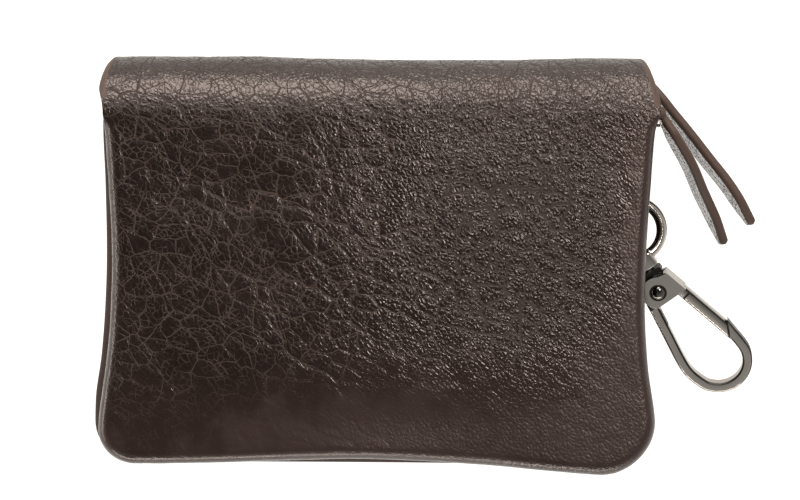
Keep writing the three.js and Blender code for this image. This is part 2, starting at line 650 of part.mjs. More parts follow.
// The round eye with a loose hub at the side nearest the hook
function bail() {
  const ring = solidFrom(new THREE.TorusGeometry(BAIL.radius, BAIL.wire, 10, 32));
  const hub = new THREE.CylinderGeometry(HUB.radius, HUB.radius, HUB.tall, 20).translate(0, -HUB.at, 0);
  const bore = new THREE.CylinderGeometry(HUB.bore, HUB.bore, HUB.at, 16).translate(0, -HUB.at, 0);
  const well = new THREE.CylinderGeometry(HUB.well, HUB.well, HUB.wellTall, 16);
  well.translate(0, -HUB.at + (HUB.tall + HUB.wellTall) / 2, 0);
  return geometryFrom(ring.subtract(solidFrom(well)).add(solidFrom(hub)).subtract(solidFrom(bore)));
}

// The leather loop round the bail, its two plies joined at the tail
function hookLoop() {
  const inside = BAIL.wire + GAP + LOOP.slack;
  const outside = inside + LOOP.thick;
  const section = new THREE.Shape();
  section.moveTo(-LOOP.tail, -LOOP.thick);
  section.lineTo(-outside, -outside);
  section.absarc(0, 0, outside, -Math.PI / 2, Math.PI / 2, false);
  section.lineTo(-outside, outside);
  section.lineTo(-LOOP.tail, LOOP.thick);
  const hole = new THREE.Path();
  hole.moveTo(-outside, -inside);
  hole.absarc(0, 0, inside, -Math.PI / 2, Math.PI / 2, false);
  hole.lineTo(-outside, inside);
  hole.lineTo(-LOOP.joinedFrom, 0);
  section.holes.push(hole);
  const geometry = slab(section, -LOOP.wide / 2, LOOP.wide / 2, 6);
  return geometry.rotateX(Math.PI / 2).translate(BAIL.x - BAIL.radius + LOOP.shift, BAIL.y, BAIL_LEFT_Z);
}

// The wallet
const wallet = new THREE.Group();
const zipClear = TAPE / 2 + GAP;

addPiece(wallet, 'outer_wrap', outerWrap(), LEATHER_BROWN);
const frontTray = innerPanel({
  sides: FRONT_SIDES,
  bottom: FRONT_BOTTOM,
  corners: FRONT_CORNERS,
  top: FRONT_ZIP.foot[0] - zipClear,
  up: -1,
  face: (y) => frontFace(y) - POUCH_DEPTH,
});
const backTray = innerPanel({
  sides: BACK_SIDES,
  bottom: BACK_BOTTOM,
  corners: BACK_CORNERS,
  top: BACK_ZIP.foot[0] - zipClear,
  up: 1,
  face: () => POUCH_DEPTH,
});
addPiece(wallet, 'front_inner_panel', frontTray, LEATHER_BROWN);
addPiece(wallet, 'back_inner_panel', backTray, LEATHER_BROWN);
for (const [side, closure, stations] of [
  ['front', FRONT_ZIP, FRONT_STRAP],
  ['back', BACK_ZIP, BACK_STRAP],
]) {
  const made = zip(closure);
  const runner = slider(closure, made);
  addPiece(wallet, `${side}_zip`, made.geometry, ZIP_CLOTH);
  addPiece(wallet, `${side}_slider`, runner.geometry, GUNMETAL);
  addPiece(wallet, `${side}_pull_ring`, pullRing(runner, stations, closure.ringHalf), GUNMETAL);
  addPiece(wallet, `${side}_pull_strap`, pullStrap(stations), LEATHER_BROWN);
}

addPiece(wallet, 'hook_loop', hookLoop(), LEATHER_BROWN);
const eye = addPiece(wallet, 'bail', bail(), GUNMETAL);
eye.rotation.set(0, BAIL_SLOPE, BAIL_TURN, 'YXZ');
eye.position.set(BAIL.x, BAIL.y, BAIL_LEFT_Z - BAIL.radius * Math.sin(BAIL_SLOPE));

const hook = new THREE.Group();
hook.rotation.set(HOOK_ROLL, HOOK_SLOPE, HOOK_TURN, 'ZYX');
hook.position.set(HOOK_PLACE.x, HOOK_PLACE.y, HOOK_PLACE.z);
addPiece(hook, 'hook_body', hookBody(), GUNMETAL);
addPiece(hook, 'hook_gate', hookGate(), GUNMETAL);
addPiece(hook, 'gate_rivet', gateRivet(), GUNMETAL);
wallet.add(hook);

export default wallet;
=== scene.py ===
"""Looks of a dark brown leather mini wallet that lies on its back.

Its zip pulls and snap hook are at the right. Tables and sizes are in millimetres, as in the part's source.
Meshes are in metres.
"""
import math

import bmesh
import bpy
from mathutils import Matrix, Vector, noise


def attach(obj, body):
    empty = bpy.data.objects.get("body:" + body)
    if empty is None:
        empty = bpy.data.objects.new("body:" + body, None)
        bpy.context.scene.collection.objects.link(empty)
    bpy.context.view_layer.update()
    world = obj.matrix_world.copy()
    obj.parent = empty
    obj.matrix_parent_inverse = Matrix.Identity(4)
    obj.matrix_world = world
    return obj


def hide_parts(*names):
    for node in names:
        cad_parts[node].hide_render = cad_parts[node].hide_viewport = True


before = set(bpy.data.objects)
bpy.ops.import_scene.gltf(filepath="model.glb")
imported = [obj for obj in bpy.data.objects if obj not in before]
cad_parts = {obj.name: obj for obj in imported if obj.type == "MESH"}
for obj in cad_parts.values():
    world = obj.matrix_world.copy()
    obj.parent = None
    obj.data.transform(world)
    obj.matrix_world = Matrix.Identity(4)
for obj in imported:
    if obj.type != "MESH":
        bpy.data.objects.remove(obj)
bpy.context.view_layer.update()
MM = 0.001
# Fixed start of the noise, so that each run gives the same creases
noise.seed_set(7)

# Sizes of the leather body, the same as in the part's source
FOLD_RADIUS = 12.5
FOLD_Y = 31.8
POUCH_DEPTH = 9.2
PANEL_LENGTH = 74.0
FRONT_DROP = 1.9
RIM_FADE = 4.0
GAP = 0.3
PANEL_RIM = (2.6, 3.6)
TRAY_RIM = (4.5, POUCH_DEPTH - PANEL_RIM[1] - GAP)
# Power of the rolled rims' section: 2 is an ellipse, more is squarer
RIM_ROUND = 2.2
LEATHER = 1.0

# Columns: y, left edge, right edge
FRONT_SIDES = (
    (-46.0, -60.0, 58.9), (-33.0, -59.7, 58.8), (-22.0, -58.2, 57.3), (-10.0, -57.1, 56.6),
    (3.0, -56.8, 56.9), (18.0, -57.5, 57.9), (28.0, -58.2, 58.7), (33.8, -58.6, 59.7),
    (38.3, -59.4, 59.0), (42.5, -58.5, 57.9), (44.3, -57.5, 57.3),
)
BACK_SIDES = (
    (-46.0, -61.6, 57.0), (-29.0, -61.6, 56.6), (-20.0, -60.4, 56.0), (-10.0, -59.6, 55.6),
    (2.0, -59.2, 55.8), (18.0, -59.5, 56.4), (31.0, -60.0, 57.2), (38.3, -59.4, 58.0),
    (44.3, -57.5, 57.3),
)
# Columns: x, y of the bottom edge
FRONT_BOTTOM = (
    (-60.0, -42.3), (-38.0, -42.2), (-20.0, -41.7), (-6.0, -41.3), (6.0, -41.6),
    (22.0, -42.6), (36.0, -44.0), (46.0, -44.8), (60.0, -45.2),
)
BACK_BOTTOM = ((-62.0, -42.6), (0.0, -42.9), (60.0, -43.6))
FRONT_CORNERS = (8.0, 12.5)
BACK_CORNERS = (9.0, 11.0)
# Columns: x, y, half width, half length, rise
FRONT_SWELLS = (
    (0.0, -6.0, 62.0, 46.0, 1.2), (26.0, 14.0, 26.0, 20.0, 0.5), (-30.0, -16.0, 22.0, 18.0, 0.4),
    (-34.0, 16.0, 24.0, 9.0, -0.5), (2.0, -33.0, 26.0, 7.0, -0.4),
)
# Columns: x, dip of the fold's crest
CREST_DIP = (
    (-60.0, -0.5), (-27.0, -0.5), (-16.0, -0.2), (6.0, 0.2),
    (22.0, 0.3), (36.0, 0.0), (46.0, -0.2), (57.0, 0.0),
)

# Painted raw edges at the two ends of the fold: columns of the mesh, width, depth, the y that they reach
# down to at the left and right, the length that they fade over, and the least share that is painted
PAINT_COLUMNS = 5
PAINT_WIDE = 1.5
PAINT_DEEP = 1.4
PAINT_LOW = (35.6, 32.8)
PAINT_FADE = 4.5
PAINT_FROM = 0.02

# Mesh steps of the outer leather, and of a tray across and down
RIM_STEPS = 7
ACROSS_STEPS = 184
FRONT_STEPS = 132
FOLD_STEPS = 50
BACK_STEPS = 28
TRAY_STEPS = (64, 44)

# Round edges that a wall can have: segments, and the angle from which an edge is rounded
WALL_ROUND = (3, math.radians(50))
# Distances within which points of a mesh are made one
WELD = 0.005
COPY_WELD = 0.002
BAR_WELD = 0.01
# Angles from which an edge is sharp, and under which two faces of a solid are one
COPY_SHARP = math.radians(35)
BAR_SHARP = math.radians(30)
ROUND_SHARP = math.radians(40)
COPY_FLAT = math.radians(1.5)
# Points between two stations of a smooth run
RUN_FINE = 40

# Zips: top and foot of the tape in a section square to the fold
TAPE = 0.7
FRONT_ZIP = ((30.4, 22.6), (29.2, 16.0))
BACK_ZIP = ((33.4, 2.7), (32.2, 9.1))
ZIP_INSET = 2.8
ZIP_STEPS = (80, 6)
TOOTH = (0.9, 1.2, 2.6)
TOOTH_BEVEL = 0.2
TOOTH_PITCH = 1.5
# Room from the foot of a tape to the end of the inner leather
TRAY_SHORT = 0.9
SLIDER_BEVEL = 0.25

# Leather pulls: middle of the run
FRONT_PULL = (
    (59.9, 32.5, 18.6), (63.1, 27.2, 15.4), (66.6, 21.6, 11.5),
    (69.4, 15.8, 7.5), (72.3, 10.2, 4.5), (74.9, 4.4, 3.9),
)
BACK_PULL = (
    (57.2, 40.4, 9.0), (62.1, 33.9, 6.2), (66.8, 28.1, 5.3),
    (71.2, 22.5, 4.8), (75.7, 16.8, 4.7), (80.9, 8.7, 4.7),
)
PULL_THICK = 2.0
PULL_LEAN = math.radians(6.5)
# Half widths of a pull: by the length from its neck, and by the length back from its point
PULL_NECK = ((0.0, 1.2), (1.5, 1.5), (7.5, 4.4))
PULL_POINT = ((7.0, 4.5), (1.0, 2.0), (0.0, 1.3))
# Length that its ends are rounded over, and the least square of the round there
PULL_END = 0.8
PULL_END_LEAST = 0.02
# Its loop: radius, thickness and width, sides of the mesh, place of the core as a share, bevel
PULL_LOOP = (1.3, 0.85, 2.4)
PULL_LOOP_SIDES = 28
PULL_LOOP_CORE = 0.85
PULL_LOOP_BEVEL = 0.12
# Grain of the pulls: scales along and across, where on the hide it starts, and the step between faces
PULL_GRAIN = (1.2, 0.35, 26.0)
PULL_FACE_STEP = 4
PULL_STEPS = 96
PULL_ARC = 8
PULL_FLAT = 8

# Bevel of the wire rings, and their far ends: as they are on the solid, and as they hang here
RING_BEVEL = 0.05
RING_ENDS = {
    "front": ((61.0, 33.2, 18.6), (60.3, 30.2, 17.2)),
    "back": ((60.4, 38.4, 6.8), (57.0, 40.5, 9.0)),
}

# Hidden leather loop round the bail: start of its wire, and the run in a section
LOOP_PLACE = (49.05, 7.5, 12.15)
LOOP_WIDE = 4.4
LOOP_PLY = 1.0
LOOP_BEVEL = 0.2
LOOP_STEPS = (60, 6)
LOOP_ARC = 2.14
LOOP_TURN = range(78, -79, -12)
LOOP_TAIL = ((-11.0, 0.57), (-8.0, 0.6), (-5.6, 0.95), (-3.6, 1.75), (-1.8, 2.14))

# Snap hook in its own frame, where its spine runs along x
HOOK_PLACE = (57.9, -1.5, 10.2)
HOOK_TURNS = (("Z", -51.0), ("Y", 14.2), ("X", 15.0))
HOOK_THICK = 2.8
CHAMFER = 0.36
CORNER_SOFT = 0.07
BAR_STEPS = 120
BOW_CENTRE = (25.4, 0.24)
BOW_RADIUS = 6.275
BOW_TURN = (-66, -50, -30, -10, 10, 30, 50, 70, 90)
BOW_RUN = (
    (5.6, -3.35), (7.3, -3.72), (14.2, -5.05), (20.95, -6.3), (24.4, -6.42),
    *((BOW_CENTRE[0] + BOW_RADIUS * math.cos(turn), BOW_CENTRE[1] + BOW_RADIUS * math.sin(turn))
      for turn in map(math.radians, BOW_TURN)),
    (20.85, 6.43),
)
GATE_RUN = ((7.2, 3.36), (14.0, 4.72), (21.22, 6.165))
BAR_WIDE = (2.15, 2.34)
# How much the end faces lean; a bar leans over one part in SLANT_ENDS of its length
NOSE_SLANT = 1.94
GATE_SLANT = 1.3
SLANT_ENDS = 6
# Head and cheeks: where they end along the hook, and their bevels
HEAD_CUT = 7.4
HEAD_BEVEL = 0.25
CHEEK_CUT = 7.5
CHEEK_BEVEL = 0.3
# Faces of a cut piece that look this much up or down have its first material. Its other faces, the sides,
# get its last one, which on the cheeks is the grey copy that paints shade
LOOKS_UP = 0.5
EYE_PLACE = (54.8, 7.5, 12.15)
EYE_SLOPE = math.radians(8)
EYE_TURN = math.radians(9.6)
EYE_RADIUS = 6.12
EYE_WIRE = 1.17
EYE_STEPS = (96, 24)
# Block at the foot of the eye: its ends, half sizes, power of its section, bore, mesh steps and bevel
HUB_FROM = -3.9
HUB_TO = -0.7
HUB_HALF = (3.2, 1.6)
HUB_POWER = 8
HUB_BORE = 1.44
HUB_STEPS = 48
HUB_BEVEL = 0.3
HUB_SHARP = math.radians(60)
# Rivet: place, half length, radius and flattening of its head, radius of its pin
RIVET_AT = (4.6, -0.7)
RIVET_OUT = 2.1
RIVET_HEAD = 1.48
RIVET_DOME = 0.5
RIVET_PIN = 0.8
# Sunk seat of the rivet: radius, taper, depth and lift
RIVET_SEAT = 1.9
SEAT_TAPER = 0.06
SEAT_DEEP = 0.14
SEAT_LIFT = 0.05
# Sides of the meshes of seat, head and pin
SEAT_SIDES = 40
HEAD_SIDES = (32, 16)
PIN_SIDES = 24
# Sides of the bars' sections that get painted shade, near black or grey. Near black slots, from one length
# to another on some sides, paint the shade in a notch or gap
BOW_SHADED = (0, 1, 3, 7)
BOW_SHADE_SLOTS = ((2.3, 6.4, (3, 4)),)
GATE_SHADED = (0, 1, 3, 7)
BAR_HALF_SHADED = (4, 5)
GATE_SHADE_SLOTS = ((1.5, 1.95, (1, 2, 3)), (13.7, 20.0, (1, 2, 3)))


def smooth(share):
    share = min(1.0, max(0.0, share))
    return share * share * (3 - 2 * share)


def from_table(table, at, column):
    """A value from a smooth curve through a table whose first column rises."""
    if at <= table[0][0]:
        return table[0][column]
    for i in range(len(table) - 1):
        low, high = table[i], table[i + 1]
        if at > high[0]:
            continue
        long = high[0] - low[0]
        share = (at - low[0]) / long
        before, after = table[max(0, i - 1)], table[min(len(table) - 1, i + 2)]
        leave = (high[column] - before[column]) / (high[0] - before[0]) * long
        reach = (after[column] - low[column]) / (after[0] - low[0]) * long
        rest = 1 - share
        return (low[column] * rest * rest * (1 + 2 * share)
                + high[column] * share * share * (1 + 2 * rest)
                + leave * share * rest * rest - reach * share * share * rest)
    return table[-1][column]


def edges_at(sides, y):
    return from_table(sides, y, 1), from_table(sides, y, 2)


def front_face(y):
    return 2 * FOLD_RADIUS - FRONT_DROP * (FOLD_Y - y) / PANEL_LENGTH


def front_swell(x, y):
    rise = 0.0
    for middle_x, middle_y, wide, long, height in FRONT_SWELLS:
        far = ((x - middle_x) / wide) ** 2 + ((y - middle_y) / long) ** 2
        if far < 1:
            rise += height * (1 - far) ** 2
    return rise


def rim_stations(inset, steps):
    return [inset * (1 - math.cos(i / steps * math.pi / 2)) for i in range(steps)]


def column_x(column, count, left, right, inset, rim=None):
    """Place of one column: close together on the rolled rims, even between them."""
    rim = rim or rim_stations(inset, RIM_STEPS)
    if column < RIM_STEPS:
        return left + rim[column]
    if column > count - RIM_STEPS:
        return right - rim[count - column]
    share = (column - RIM_STEPS) / (count - 2 * RIM_STEPS)
    return left + inset + (right - left - 2 * inset) * share


def round_corner(x, y, left, right, bottom, corners):
    """Moves a point of a square-cornered panel so that its bottom corners are round.

    Gives the new place, its distance from the edge and the way out.
    """
    on_left = x < (left + right) / 2
    corner = corners[0] if on_left else corners[1]
    side = -1 if on_left else 1
    across = max(0.0, 1 - ((x - left) if on_left else (right - x)) / corner)
    down = max(0.0, 1 - (y - bottom) / corner)
    round_across = across * math.sqrt(1 - down * down / 2)
    round_down = down * math.sqrt(1 - across * across / 2)
    reach = math.hypot(round_across, round_down)
    out = Vector((side * round_across, -round_down)) / reach if reach else Vector((0, 0))
    place = Vector((x + side * (round_across - across) * corner, y + (down - round_down) * corner))
    return place, max(0.0, corner * (1 - reach)), out


def panel_point(column, count, row_share, row_edge, shape, rim):
    """One point of a rolled panel: place, and place on the flat hide."""
    sides, bottoms, corners, top, up, face, swell = shape
    inset, depth = rim
    mid_x = column_x(column, count, *edges_at(sides, 0), inset)
    bottom = from_table(bottoms, mid_x, 1)
    y = bottom + row_edge if row_share is None else top + (bottom + inset - top) * row_share
    left, right = edges_at(sides, y)
    x = column_x(column, count, left, right, inset)
    place, inward, out = round_corner(x, y, left, right, bottom, corners)
    lean = max(0.0, 1 - inward / inset)
    level = (1 - lean ** RIM_ROUND) ** (1 / RIM_ROUND)
    amount = smooth((top + (0 if swell else RIM_FADE) - place.y) / RIM_FADE)
    rise = front_swell(place.x, place.y) * level if swell else 0.0
    z = face(place.y) - up * depth * amount * (1 - level) + rise
    flat = place + out * (depth * math.asin(lean) - inset * lean) * amount
    return Vector((place.x, place.y, z)), flat


def paint_share(y, on_left):
    low = PAINT_LOW[0] if on_left else PAINT_LOW[1]
    return smooth((y - low) / PAINT_FADE)


def fold_point(column, count, angle):
    """One point of the rolled fold; the angle runs from the front, a quarter turn, to the back."""
    y = FOLD_Y + FOLD_RADIUS * math.cos(angle)
    sides = FRONT_SIDES if angle > 0 else BACK_SIDES
    left, right = edges_at(sides, y)
    painted = paint_share(y, column * 2 < count)
    plain = rim_stations(PANEL_RIM[0], RIM_STEPS)
    bead = rim_stations(PAINT_WIDE, PAINT_COLUMNS)
    rest = [PAINT_WIDE + (PANEL_RIM[0] - PAINT_WIDE) * i / (RIM_STEPS - PAINT_COLUMNS)
            for i in range(RIM_STEPS - PAINT_COLUMNS)]
    rim = [a + (b - a) * painted for a, b in zip(plain, bead + rest)]
    x = column_x(column, count, left, right, PANEL_RIM[0], rim)
    lean = max(0.0, 1 - min(x - left, right - x) / PAINT_WIDE)
    dip = from_table(CREST_DIP, x, 1) * math.cos(angle) ** 2
    radius = FOLD_RADIUS - dip - PAINT_DEEP * painted * (1 - math.sqrt(1 - lean * lean))
    place = Vector((x, FOLD_Y + radius * math.cos(angle), FOLD_RADIUS + radius * math.sin(angle)))
    return place, Vector((x, FOLD_Y + FOLD_RADIUS * (math.pi / 2 - angle)))


# Noise that bends the creases of the hide: size and reach
DRIFTS = ((15.0, 4.5), (5.0, 1.2))
# Soft waves of the hide: size, height, and where their noise is taken from
WAVES = ((13.0, 0.16, (3.1, 0.4, 2.0)), (4.5, 0.07, (0.0, 0.0, 0.0)))
# Columns: cell size, turn, stretch, width of the groove, depth
CREASES = (
    (12.0, math.radians(-42), 0.45, 0.10, 0.08),
    (8.0, math.radians(10), 0.6, 0.12, 0.06),
)
# Patches of the hide that are creased: size, gain and shift of their noise
CREASE_PATCH = (19.0, 1.9, 0.55)


def hide_relief(flat):
    """Height of the hide's folds at a place on the flat hide, and how deep the nearest crease is."""
    far = Vector((flat.x, flat.y, 0.0))
    drift = Vector((0.0, 0.0, 0.0))
    for size, reach in DRIFTS:
        drift += noise.noise_vector(far / size) * reach
    bent = far + drift
    height = 0.0
    for size, rise, start in WAVES:
        height += rise * noise.noise(far / size + Vector(start))
    deepest = 0.0
    patch_size, gain, shift = CREASE_PATCH
    for size, turn, stretch, wide, depth in CREASES:
        turned = Vector((
            (bent.x * math.cos(turn) + bent.y * math.sin(turn)) / size,
            (bent.y * math.cos(turn) - bent.x * math.sin(turn)) / (size * stretch),
            size,
        ))
        near = noise.voronoi(turned)[0]
        groove = 1 - smooth((near[1] - near[0]) / wide)
        patch = smooth(gain * noise.noise(far / patch_size + Vector((size, 1.0, 5.0))) + shift)
        height -= depth * groove * patch
        deepest = max(deepest, groove * patch)
    return height, deepest


# How creased the hide is: x, y, half width, half length, amount
CREASED_PLACES = (
    (-50.0, 6.0, 30.0, 38.0, 0.55), (-10.0, 44.0, 90.0, 20.0, 0.7), (-14.0, -2.0, 36.0, 28.0, 0.35),
    (28.0, 8.0, 28.0, 24.0, 0.55), (0.0, -36.0, 70.0, 14.0, -0.3), (58.0, 4.0, 8.0, 34.0, -0.5),
    (-10.0, -47.0, 60.0, 3.5, 0.8),
)
CREASED_AT_LEAST = 0.2
CREASED_BACK = 0.4
# Light in the creases: weight, and the power that keeps shallow ones out
CREASE_LIGHT = (0.12, 3)
# Share of the relief that is left at the sheet's edges, and on hide that isn't creased
EDGE_RELIEF = 0.35
CALM_RELIEF = 0.35
# Height up to which the leather lies on the table and stays flat, and above which a face is the front's
LYING = 0.3
FRONT_ABOVE = 20


def creased(flat):
    amount = CREASED_AT_LEAST
    for x, y, wide, long, more in CREASED_PLACES:
        far = ((flat.x - x) / wide) ** 2 + ((flat.y - y) / long) ** 2
        amount += more * math.exp(-far)
    return min(1.0, max(0.0, amount))


def piece_from(bm, name, materials):
    """A finished mesh object at the origin, in metres, from a bmesh in millimetres."""
    bmesh.ops.scale(bm, vec=(MM, MM, MM), verts=bm.verts)
    mesh = bpy.data.meshes.new(name)
    bm.to_mesh(mesh)
    bm.free()
    for material in materials:
        mesh.materials.append(material)
    for face in mesh.polygons:
        face.use_smooth = True
    return show(bpy.data.objects.new(name, mesh))


def show(thing):
    bpy.context.scene.collection.objects.link(thing)
    return thing


def dress(piece, body, slot, *nodes):
    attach(piece, body)
    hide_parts(*nodes)
    return piece


def wall(piece, thick, offset=-1.0, rim=0, bevel=0.0):
    """Gives a sheet its thickness, with its own material on the rim and round edges."""
    made = piece.modifiers.new("wall", "SOLIDIFY")
    made.thickness = thick * MM
    made.offset = offset
    made.material_offset_rim = rim
    if bevel:
        rounded = piece.modifiers.new("round", "BEVEL")
        rounded.width = bevel * MM
        rounded.segments = WALL_ROUND[0]
        rounded.material = rim
        rounded.limit_method = "ANGLE"
        rounded.angle_limit = WALL_ROUND[1]
    return piece


def grid(columns, rows, place):
    """A grid sheet whose points are placed by column and row.

    The function place gives a point and its place on the flat hide.
    """
    bm = bmesh.new()
    for mark in ("crease", "worn"):
        bm.verts.layers.float.new(mark)
    uv = bm.loops.layers.uv.new("hide")
    bmesh.ops.create_grid(bm, x_segments=columns, y_segments=rows, size=0.5)
    on_hide = {}
    spots = {}
    for vert in bm.verts:
        column = round((vert.co.x + 0.5) * columns)
        row = round((vert.co.y + 0.5) * rows)
        vert.co, on_hide[vert] = place(column, row)
        spots[vert] = (column, row)
    for face in bm.faces:
        for loop in face.loops:
            loop[uv].uv = on_hide[loop.vert]
    bm.normal_update()
    return bm, on_hide, spots


def fill_holes(bm):
    open_edges = [edge for edge in bm.edges if edge.is_boundary]
    return bmesh.ops.holes_fill(bm, edges=open_edges)["faces"]


def bevel_edges(bm, edges, offset, segments, clamp=False):
    bmesh.ops.bevel(bm, geom=edges, offset=offset, segments=segments, profile=0.5, affect="EDGES",
                    clamp_overlap=clamp, material=-1)


def flat_faces(piece, angle):
    """Keeps a metal piece's flats even in their shading, with sharp edges from the angle."""
    piece.data.set_sharp_from_angle(angle=angle)
    piece.modifiers.new("flats", "WEIGHTED_NORMAL").keep_sharp = True
    return piece


def outer_leather(materials):
    """Front panel, fold and back panel as one sheet, with creases and with paint at the fold's ends."""
    count = 2 * RIM_STEPS + ACROSS_STEPS
    front = (FRONT_SIDES, FRONT_BOTTOM, FRONT_CORNERS, FOLD_Y, 1, front_face, True)
    back = (BACK_SIDES, BACK_BOTTOM, BACK_CORNERS, FOLD_Y, -1, lambda y: 0.0, False)
    edge = rim_stations(PANEL_RIM[0], RIM_STEPS)
    front_rows = RIM_STEPS + FRONT_STEPS
    fold_rows = front_rows + FOLD_STEPS
    rows = fold_rows + BACK_STEPS + RIM_STEPS
    hide_end = 2 * FOLD_Y + FOLD_RADIUS * math.pi

    def place(column, row):
        if row < RIM_STEPS:
            return panel_point(column, count, None, edge[row], front, PANEL_RIM)
        if row <= front_rows:
            share = 1 - (row - RIM_STEPS) / FRONT_STEPS
            return panel_point(column, count, share, 0, front, PANEL_RIM)
        if row < fold_rows:
            return fold_point(column, count, math.pi * (0.5 - (row - front_rows) / FOLD_STEPS))
        if row <= fold_rows + BACK_STEPS:
            share = (row - fold_rows) / BACK_STEPS
            point, flat = panel_point(column, count, share, 0, back, PANEL_RIM)
        else:
            point, flat = panel_point(column, count, None, edge[rows - row], back, PANEL_RIM)
        return point, Vector((flat.x, hide_end - flat.y))

    bm, on_hide, spots = grid(count, rows, place)
    front_faces = [face for face in bm.faces if face.calc_center_median().z > FRONT_ABOVE]
    if sum(face.normal.z for face in front_faces) < 0:
        bmesh.ops.reverse_faces(bm, faces=bm.faces)
        bm.normal_update()
    crease = bm.verts.layers.float["crease"]
    worn = bm.verts.layers.float["worn"]
    moves = {}
    for vert, flat in on_hide.items():
        amount = creased(flat) if flat.y < FOLD_Y + 2 * FOLD_RADIUS else CREASED_BACK
        height, deep = hide_relief(flat)
        vert[crease] = CREASE_LIGHT[0] * deep ** CREASE_LIGHT[1] * amount
        vert[worn] = amount
        column, row = spots[vert]
        painted = row > front_rows and min(column, count - column) <= PAINT_COLUMNS
        kept = 0.0 if painted else EDGE_RELIEF if vert.is_boundary else 1.0
        moves[vert] = vert.normal * height * kept * (CALM_RELIEF + (1 - CALM_RELIEF) * amount)
    for vert, move in moves.items():
        if vert.co.z > LYING:
            vert.co += move
    for face in bm.faces:
        columns = [spots[vert][0] for vert in face.verts]
        heights = [spots[vert][1] for vert in face.verts]
        inward = min(max(columns), count - min(columns))
        middle = face.calc_center_median()
        if front_rows < max(heights) <= fold_rows and inward <= PAINT_COLUMNS:
            if paint_share(middle.y, middle.x < 0) > PAINT_FROM:
                face.material_index = 1
    return piece_from(bm, "outer_leather", materials)


def tray(name, sides, bottoms, corners, top, up, face, materials):
    """The inner leather of a pouch."""
    across, down = TRAY_STEPS
    count = 2 * RIM_STEPS + across
    rows = down + RIM_STEPS
    shape = (sides, bottoms, corners, top, up, face, False)
    edge = rim_stations(TRAY_RIM[0], RIM_STEPS)

    def place(column, row):
        if row < RIM_STEPS:
            return panel_point(column, count, None, edge[row], shape, TRAY_RIM)
        return panel_point(column, count, 1 - (row - RIM_STEPS) / down, 0, shape, TRAY_RIM)

    bm, _, _ = grid(count, rows, place)
    if sum(made.normal.z for made in bm.faces) * up < 0:
        bmesh.ops.reverse_faces(bm, faces=bm.faces)
    return piece_from(bm, name, materials)


def run_points(stations, count):
    """Evenly spaced points on a smooth curve through the stations."""
    knots = [Vector(s) for s in stations]
    knots = [2 * knots[0] - knots[1], *knots, 2 * knots[-1] - knots[-2]]
    fine = []
    for a, b, c, d in zip(knots, knots[1:], knots[2:], knots[3:]):
        for i in range(RUN_FINE):
            t = i / RUN_FINE
            fine.append(0.5 * (2 * b + (c - a) * t + (2 * a - 5 * b + 4 * c - d) * t * t
                               + (3 * b - a - 3 * c + d) * t ** 3))
    fine.append(knots[-2])
    reach = [0.0]
    for a, b in zip(fine, fine[1:]):
        reach.append(reach[-1] + (b - a).length)
    points = []
    step = 0
    for i in range(count + 1):
        want = reach[-1] * i / count
        while step < len(fine) - 2 and reach[step + 1] < want:
            step += 1
        share = (want - reach[step]) / (reach[step + 1] - reach[step])
        points.append(fine[step].lerp(fine[step + 1], share))
    return points, reach[-1]


def pull_strap(name, stations, materials):
    """A leather pull standing on edge, with round painted edges, a narrow neck and a blunt point."""
    points, length = run_points(stations, PULL_STEPS)
    widths = (*PULL_NECK, *((length - back, half) for back, half in PULL_POINT))
    rows = 2 * (PULL_ARC + PULL_FLAT)

    def place(column, row):
        centre = points[column]
        ahead = points[min(PULL_STEPS, column + 1)] - points[max(0, column - 1)]
        level = Vector((ahead.x, ahead.y, 0)).normalized()
        side = Vector((0, 0, 1)).cross(level)
        width = Vector((0, 0, 1)) * math.cos(PULL_LEAN) + side * math.sin(PULL_LEAN)
        out = width.cross(level)
        run = length * column / PULL_STEPS
        near_end = max(0.0, 1 - min(run, length - run) / PULL_END)
        radius = PULL_THICK / 2 * math.sqrt(max(PULL_END_LEAST, 1 - near_end ** 2))
        reach = from_table(widths, run, 1) - radius
        far, step = divmod(row % rows, PULL_ARC + PULL_FLAT)
        way = -1 if far else 1
        if step <= PULL_ARC:
            angle = math.pi * step / PULL_ARC
            across, up = radius * math.cos(angle), reach + radius * math.sin(angle)
        else:
            across, up = -radius, reach * (1 - 2 * (step - PULL_ARC) / PULL_FLAT)
        along, scale, start = PULL_GRAIN
        on_hide = Vector((along * run, scale * (up * way + PULL_FACE_STEP * far) + start))
        return centre + (out * across + width * up) * way, on_hide

    bm, _, spots = grid(PULL_STEPS, rows, place)
    for face in bm.faces:
        lows = {spots[vert][1] % (PULL_ARC + PULL_FLAT) for vert in face.verts}
        face.material_index = 1 if max(lows) <= PULL_ARC and lows != {0, PULL_ARC + PULL_FLAT - 1} else 0
    bmesh.ops.remove_doubles(bm, verts=bm.verts, dist=WELD)
    for face in fill_holes(bm):
        face.material_index = 1
    bmesh.ops.recalc_face_normals(bm, faces=bm.faces)
    return piece_from(bm, name, materials)


def pull_loop(name, stations, materials):
    """The small loop at the top of a pull, which its ring goes through."""
    radius, thick, wide = PULL_LOOP
    bm = bmesh.new()
    ring = bmesh.ops.create_circle(bm, segments=PULL_LOOP_SIDES, radius=radius)["verts"]
    edges = list({edge for vert in ring for edge in vert.link_edges})
    made = bmesh.ops.extrude_edge_only(bm, edges=edges)["geom"]
    grown = [item for item in made if isinstance(item, bmesh.types.BMVert)]
    bmesh.ops.translate(bm, vec=(0, 0, wide), verts=grown)
    core = bmesh.ops.create_circle(bm, cap_ends=True, segments=PULL_LOOP_SIDES,
                                   radius=radius - thick / 2)["verts"]
    bmesh.ops.translate(bm, vec=(0, 0, wide * PULL_LOOP_CORE), verts=core)
    for face in {face for vert in core for face in vert.link_faces}:
        face.material_index = 1
    bmesh.ops.recalc_face_normals(bm, faces=bm.faces)
    bmesh.ops.translate(bm, vec=Vector(stations[0]) - Vector((0, 0, wide / 2)), verts=bm.verts)
    return wall(piece_from(bm, name, materials), thick, -1.0, 1, PULL_LOOP_BEVEL)


